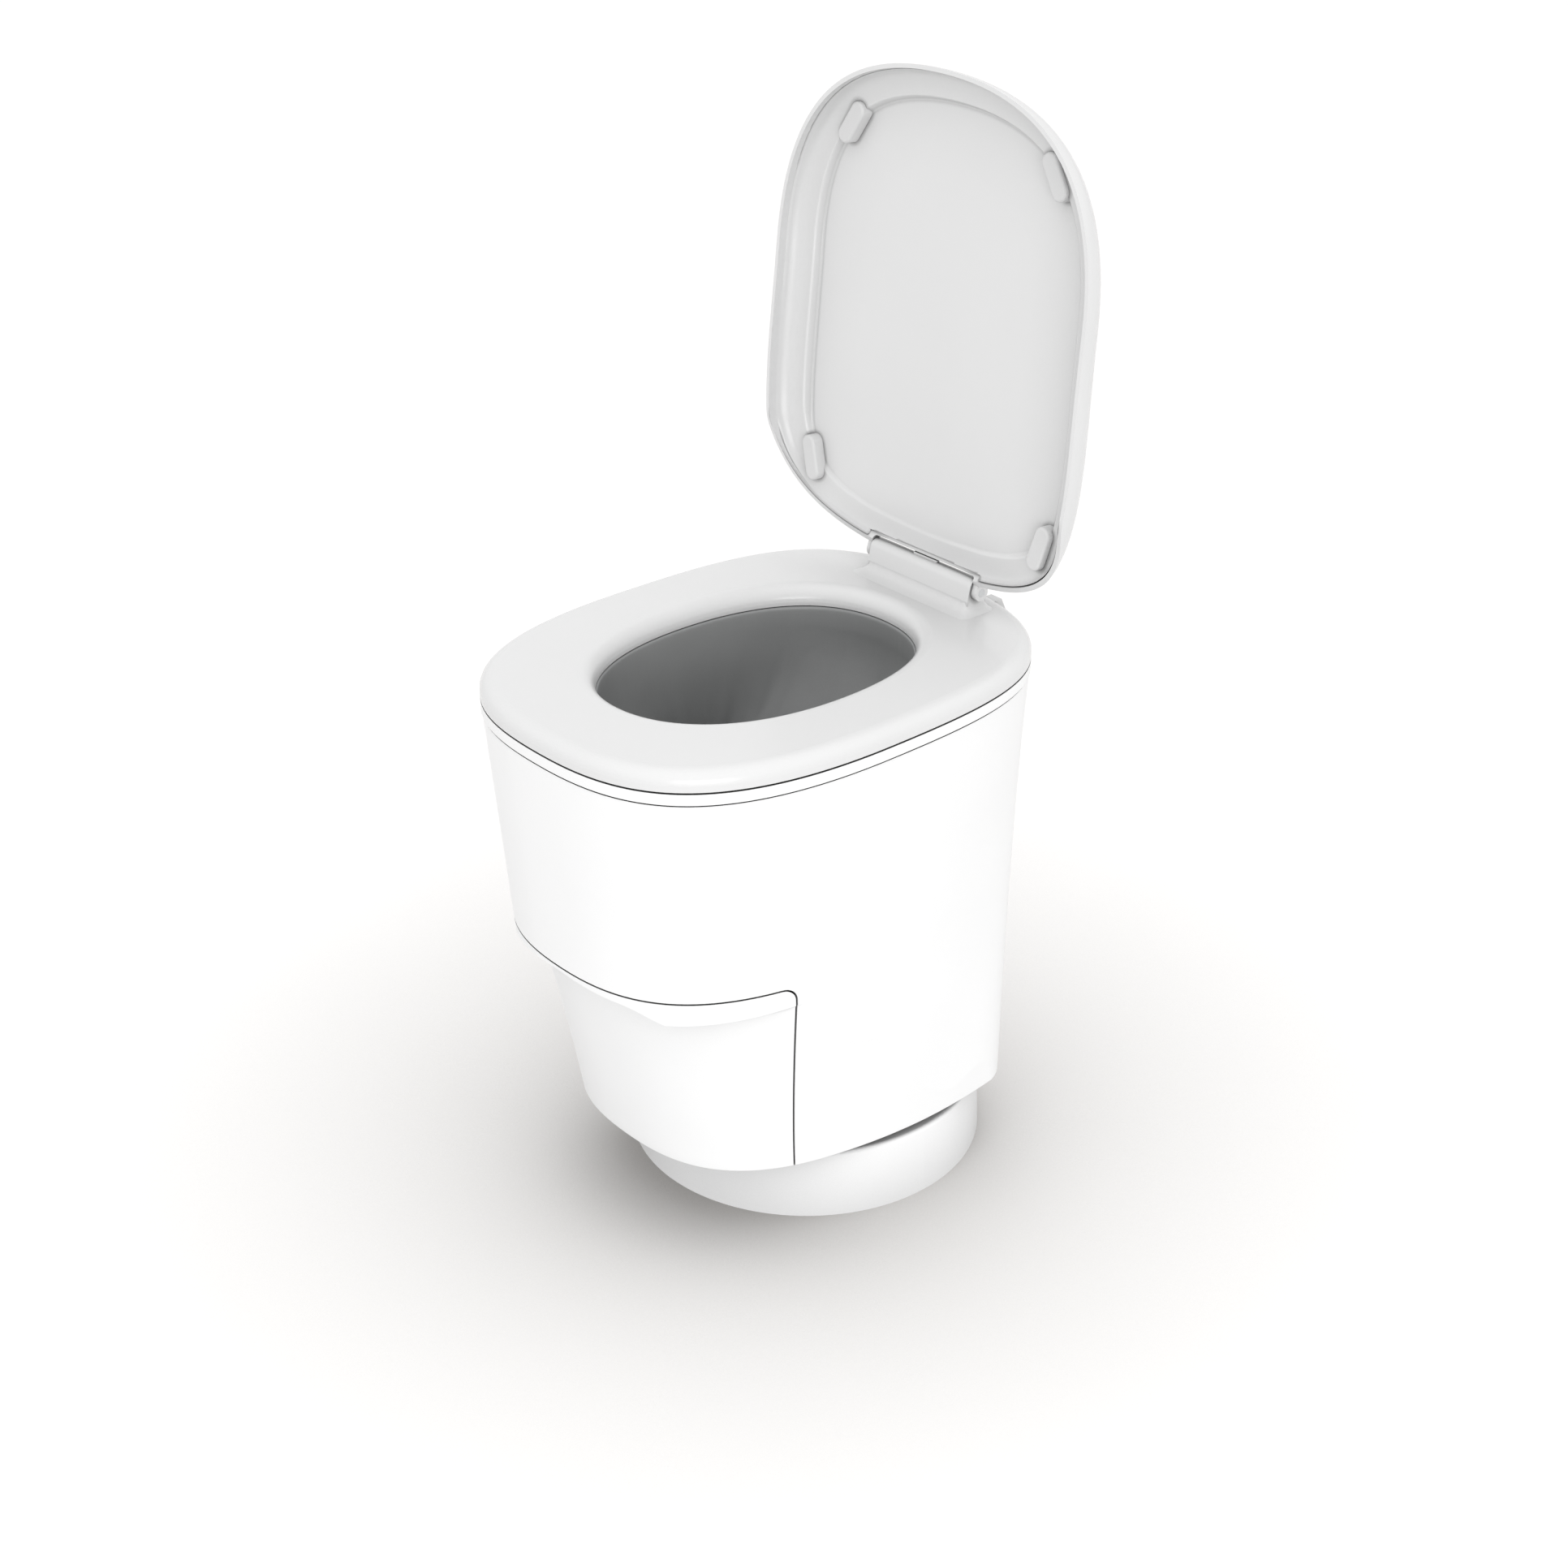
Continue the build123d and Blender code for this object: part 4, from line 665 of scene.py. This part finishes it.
def lid_inner_panel(material):
    """Panel inside the lid: side, ledge and step round a flat floor, cut out at the hinge."""
    skin = panel_skin(panel_rows())
    cut_notch(skin)
    for vert in skin.verts:
        vert.co = opened(*vert.co)
    bmesh.ops.recalc_face_normals(skin, faces=skin.faces[:])
    mesh = bpy.data.meshes.new("lid_inner_panel")
    skin.to_mesh(mesh)
    skin.free()
    piece = smooth_piece("lid_inner_panel", mesh, material)
    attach(piece, "lid")


# Room: pale floor, soft light and the camera at the photograph's angle


def studio_floor():
    """Large matt white floor, with a painted shadow that greys it close under the toilet."""
    mesh = bpy.data.meshes.new("studio_floor")
    half = 30.0
    corners = [(-half, -half, 0), (half, -half, 0), (half, half, 0), (-half, half, 0)]
    mesh.from_pydata(corners, [], [(0, 1, 2, 3)])
    floor = bpy.data.objects.new("studio_floor", mesh)
    bpy.context.collection.objects.link(floor)
    material, tree, shader, place = start_material("floor_paint", ior=1.45)
    paint = tint(tree, noise(tree, place, 800), "#FAF9F8", "#FCFBFA")
    # Painted shadow: the floor darkens where the toilet shuts out the light.
    colour = paint_shade(tree, paint, 600, "#8E8A86", -0.1)
    finish_material(tree, shader, colour, spread(tree, noise(tree, place, 300), 0.9, 1.0))
    mesh.materials.append(material)
    floor.visible_diffuse = False


def area_light(name, spot, aim, width, height, watts):
    """Soft white rectangular light at a spot, turned toward its aim."""
    light = bpy.data.lights.new(name, "AREA")
    light.shape = "RECTANGLE"
    light.size = width
    light.size_y = height
    light.energy = watts
    lamp = bpy.data.objects.new(name, light)
    lamp.location = spot
    lamp.rotation_euler = (Vector(aim) - Vector(spot)).to_track_quat("-Z", "Y").to_euler()
    bpy.context.collection.objects.link(lamp)


def studio_light():
    """White surround, weaker from below, with one broad low light at the front left of the sitter."""
    bpy.context.scene.view_settings.view_transform = "Standard"
    world = bpy.data.worlds.new("studio_surround")
    bpy.context.scene.world = world
    world.use_nodes = True
    tree = world.node_tree
    tree.nodes.clear()
    ray = put(tree, "ShaderNodeTexCoord").outputs["Generated"]
    height = put(tree, "ShaderNodeSeparateXYZ", {"Vector": ray}).outputs["Z"]
    strength = put(tree, "ShaderNodeMapRange", {
        "Value": height,
        "From Min": -0.2,
        "From Max": 0.2,
        "To Min": 0.66,
        "To Max": 1.08,
    }).outputs["Result"]
    surround = put(tree, "ShaderNodeBackground", {"Color": linear("#FFFFFF"), "Strength": strength})
    put(tree, "ShaderNodeOutputWorld", {"Surface": surround.outputs["Background"]})
    area_light("front_light", (3.2, -2.2, 0.9), (0, 0, 0.35), 2.6, 1.6, 46)


def camera():
    """Camera above the sitter's front left, as in the photograph."""
    azimuth = math.radians(48.8)
    elevation = math.radians(27.9)
    distance = 2.460
    aim = Vector((-0.0135, -0.0166, 0.3735))
    pixels = 1932
    focal_pixels = 3215
    back = Vector((
        math.sin(azimuth) * math.cos(elevation),
        -math.cos(azimuth) * math.cos(elevation),
        math.sin(elevation),
    ))
    data = bpy.data.cameras.new("photo_camera")
    data.sensor_width = 36.0
    data.lens = data.sensor_width * focal_pixels / pixels
    data.clip_end = 100
    eye = bpy.data.objects.new("photo_camera", data)
    eye.location = aim + back * distance
    eye.rotation_euler = (-back).to_track_quat("-Z", "Y").to_euler()
    bpy.context.collection.objects.link(eye)
    bpy.context.scene.camera = eye


made = dress_nodes()
film_liner(made[barrier_film])
film_stock(made[barrier_film])
lid_inner_panel(made[urea_seat])
studio_floor()
studio_light()
camera()
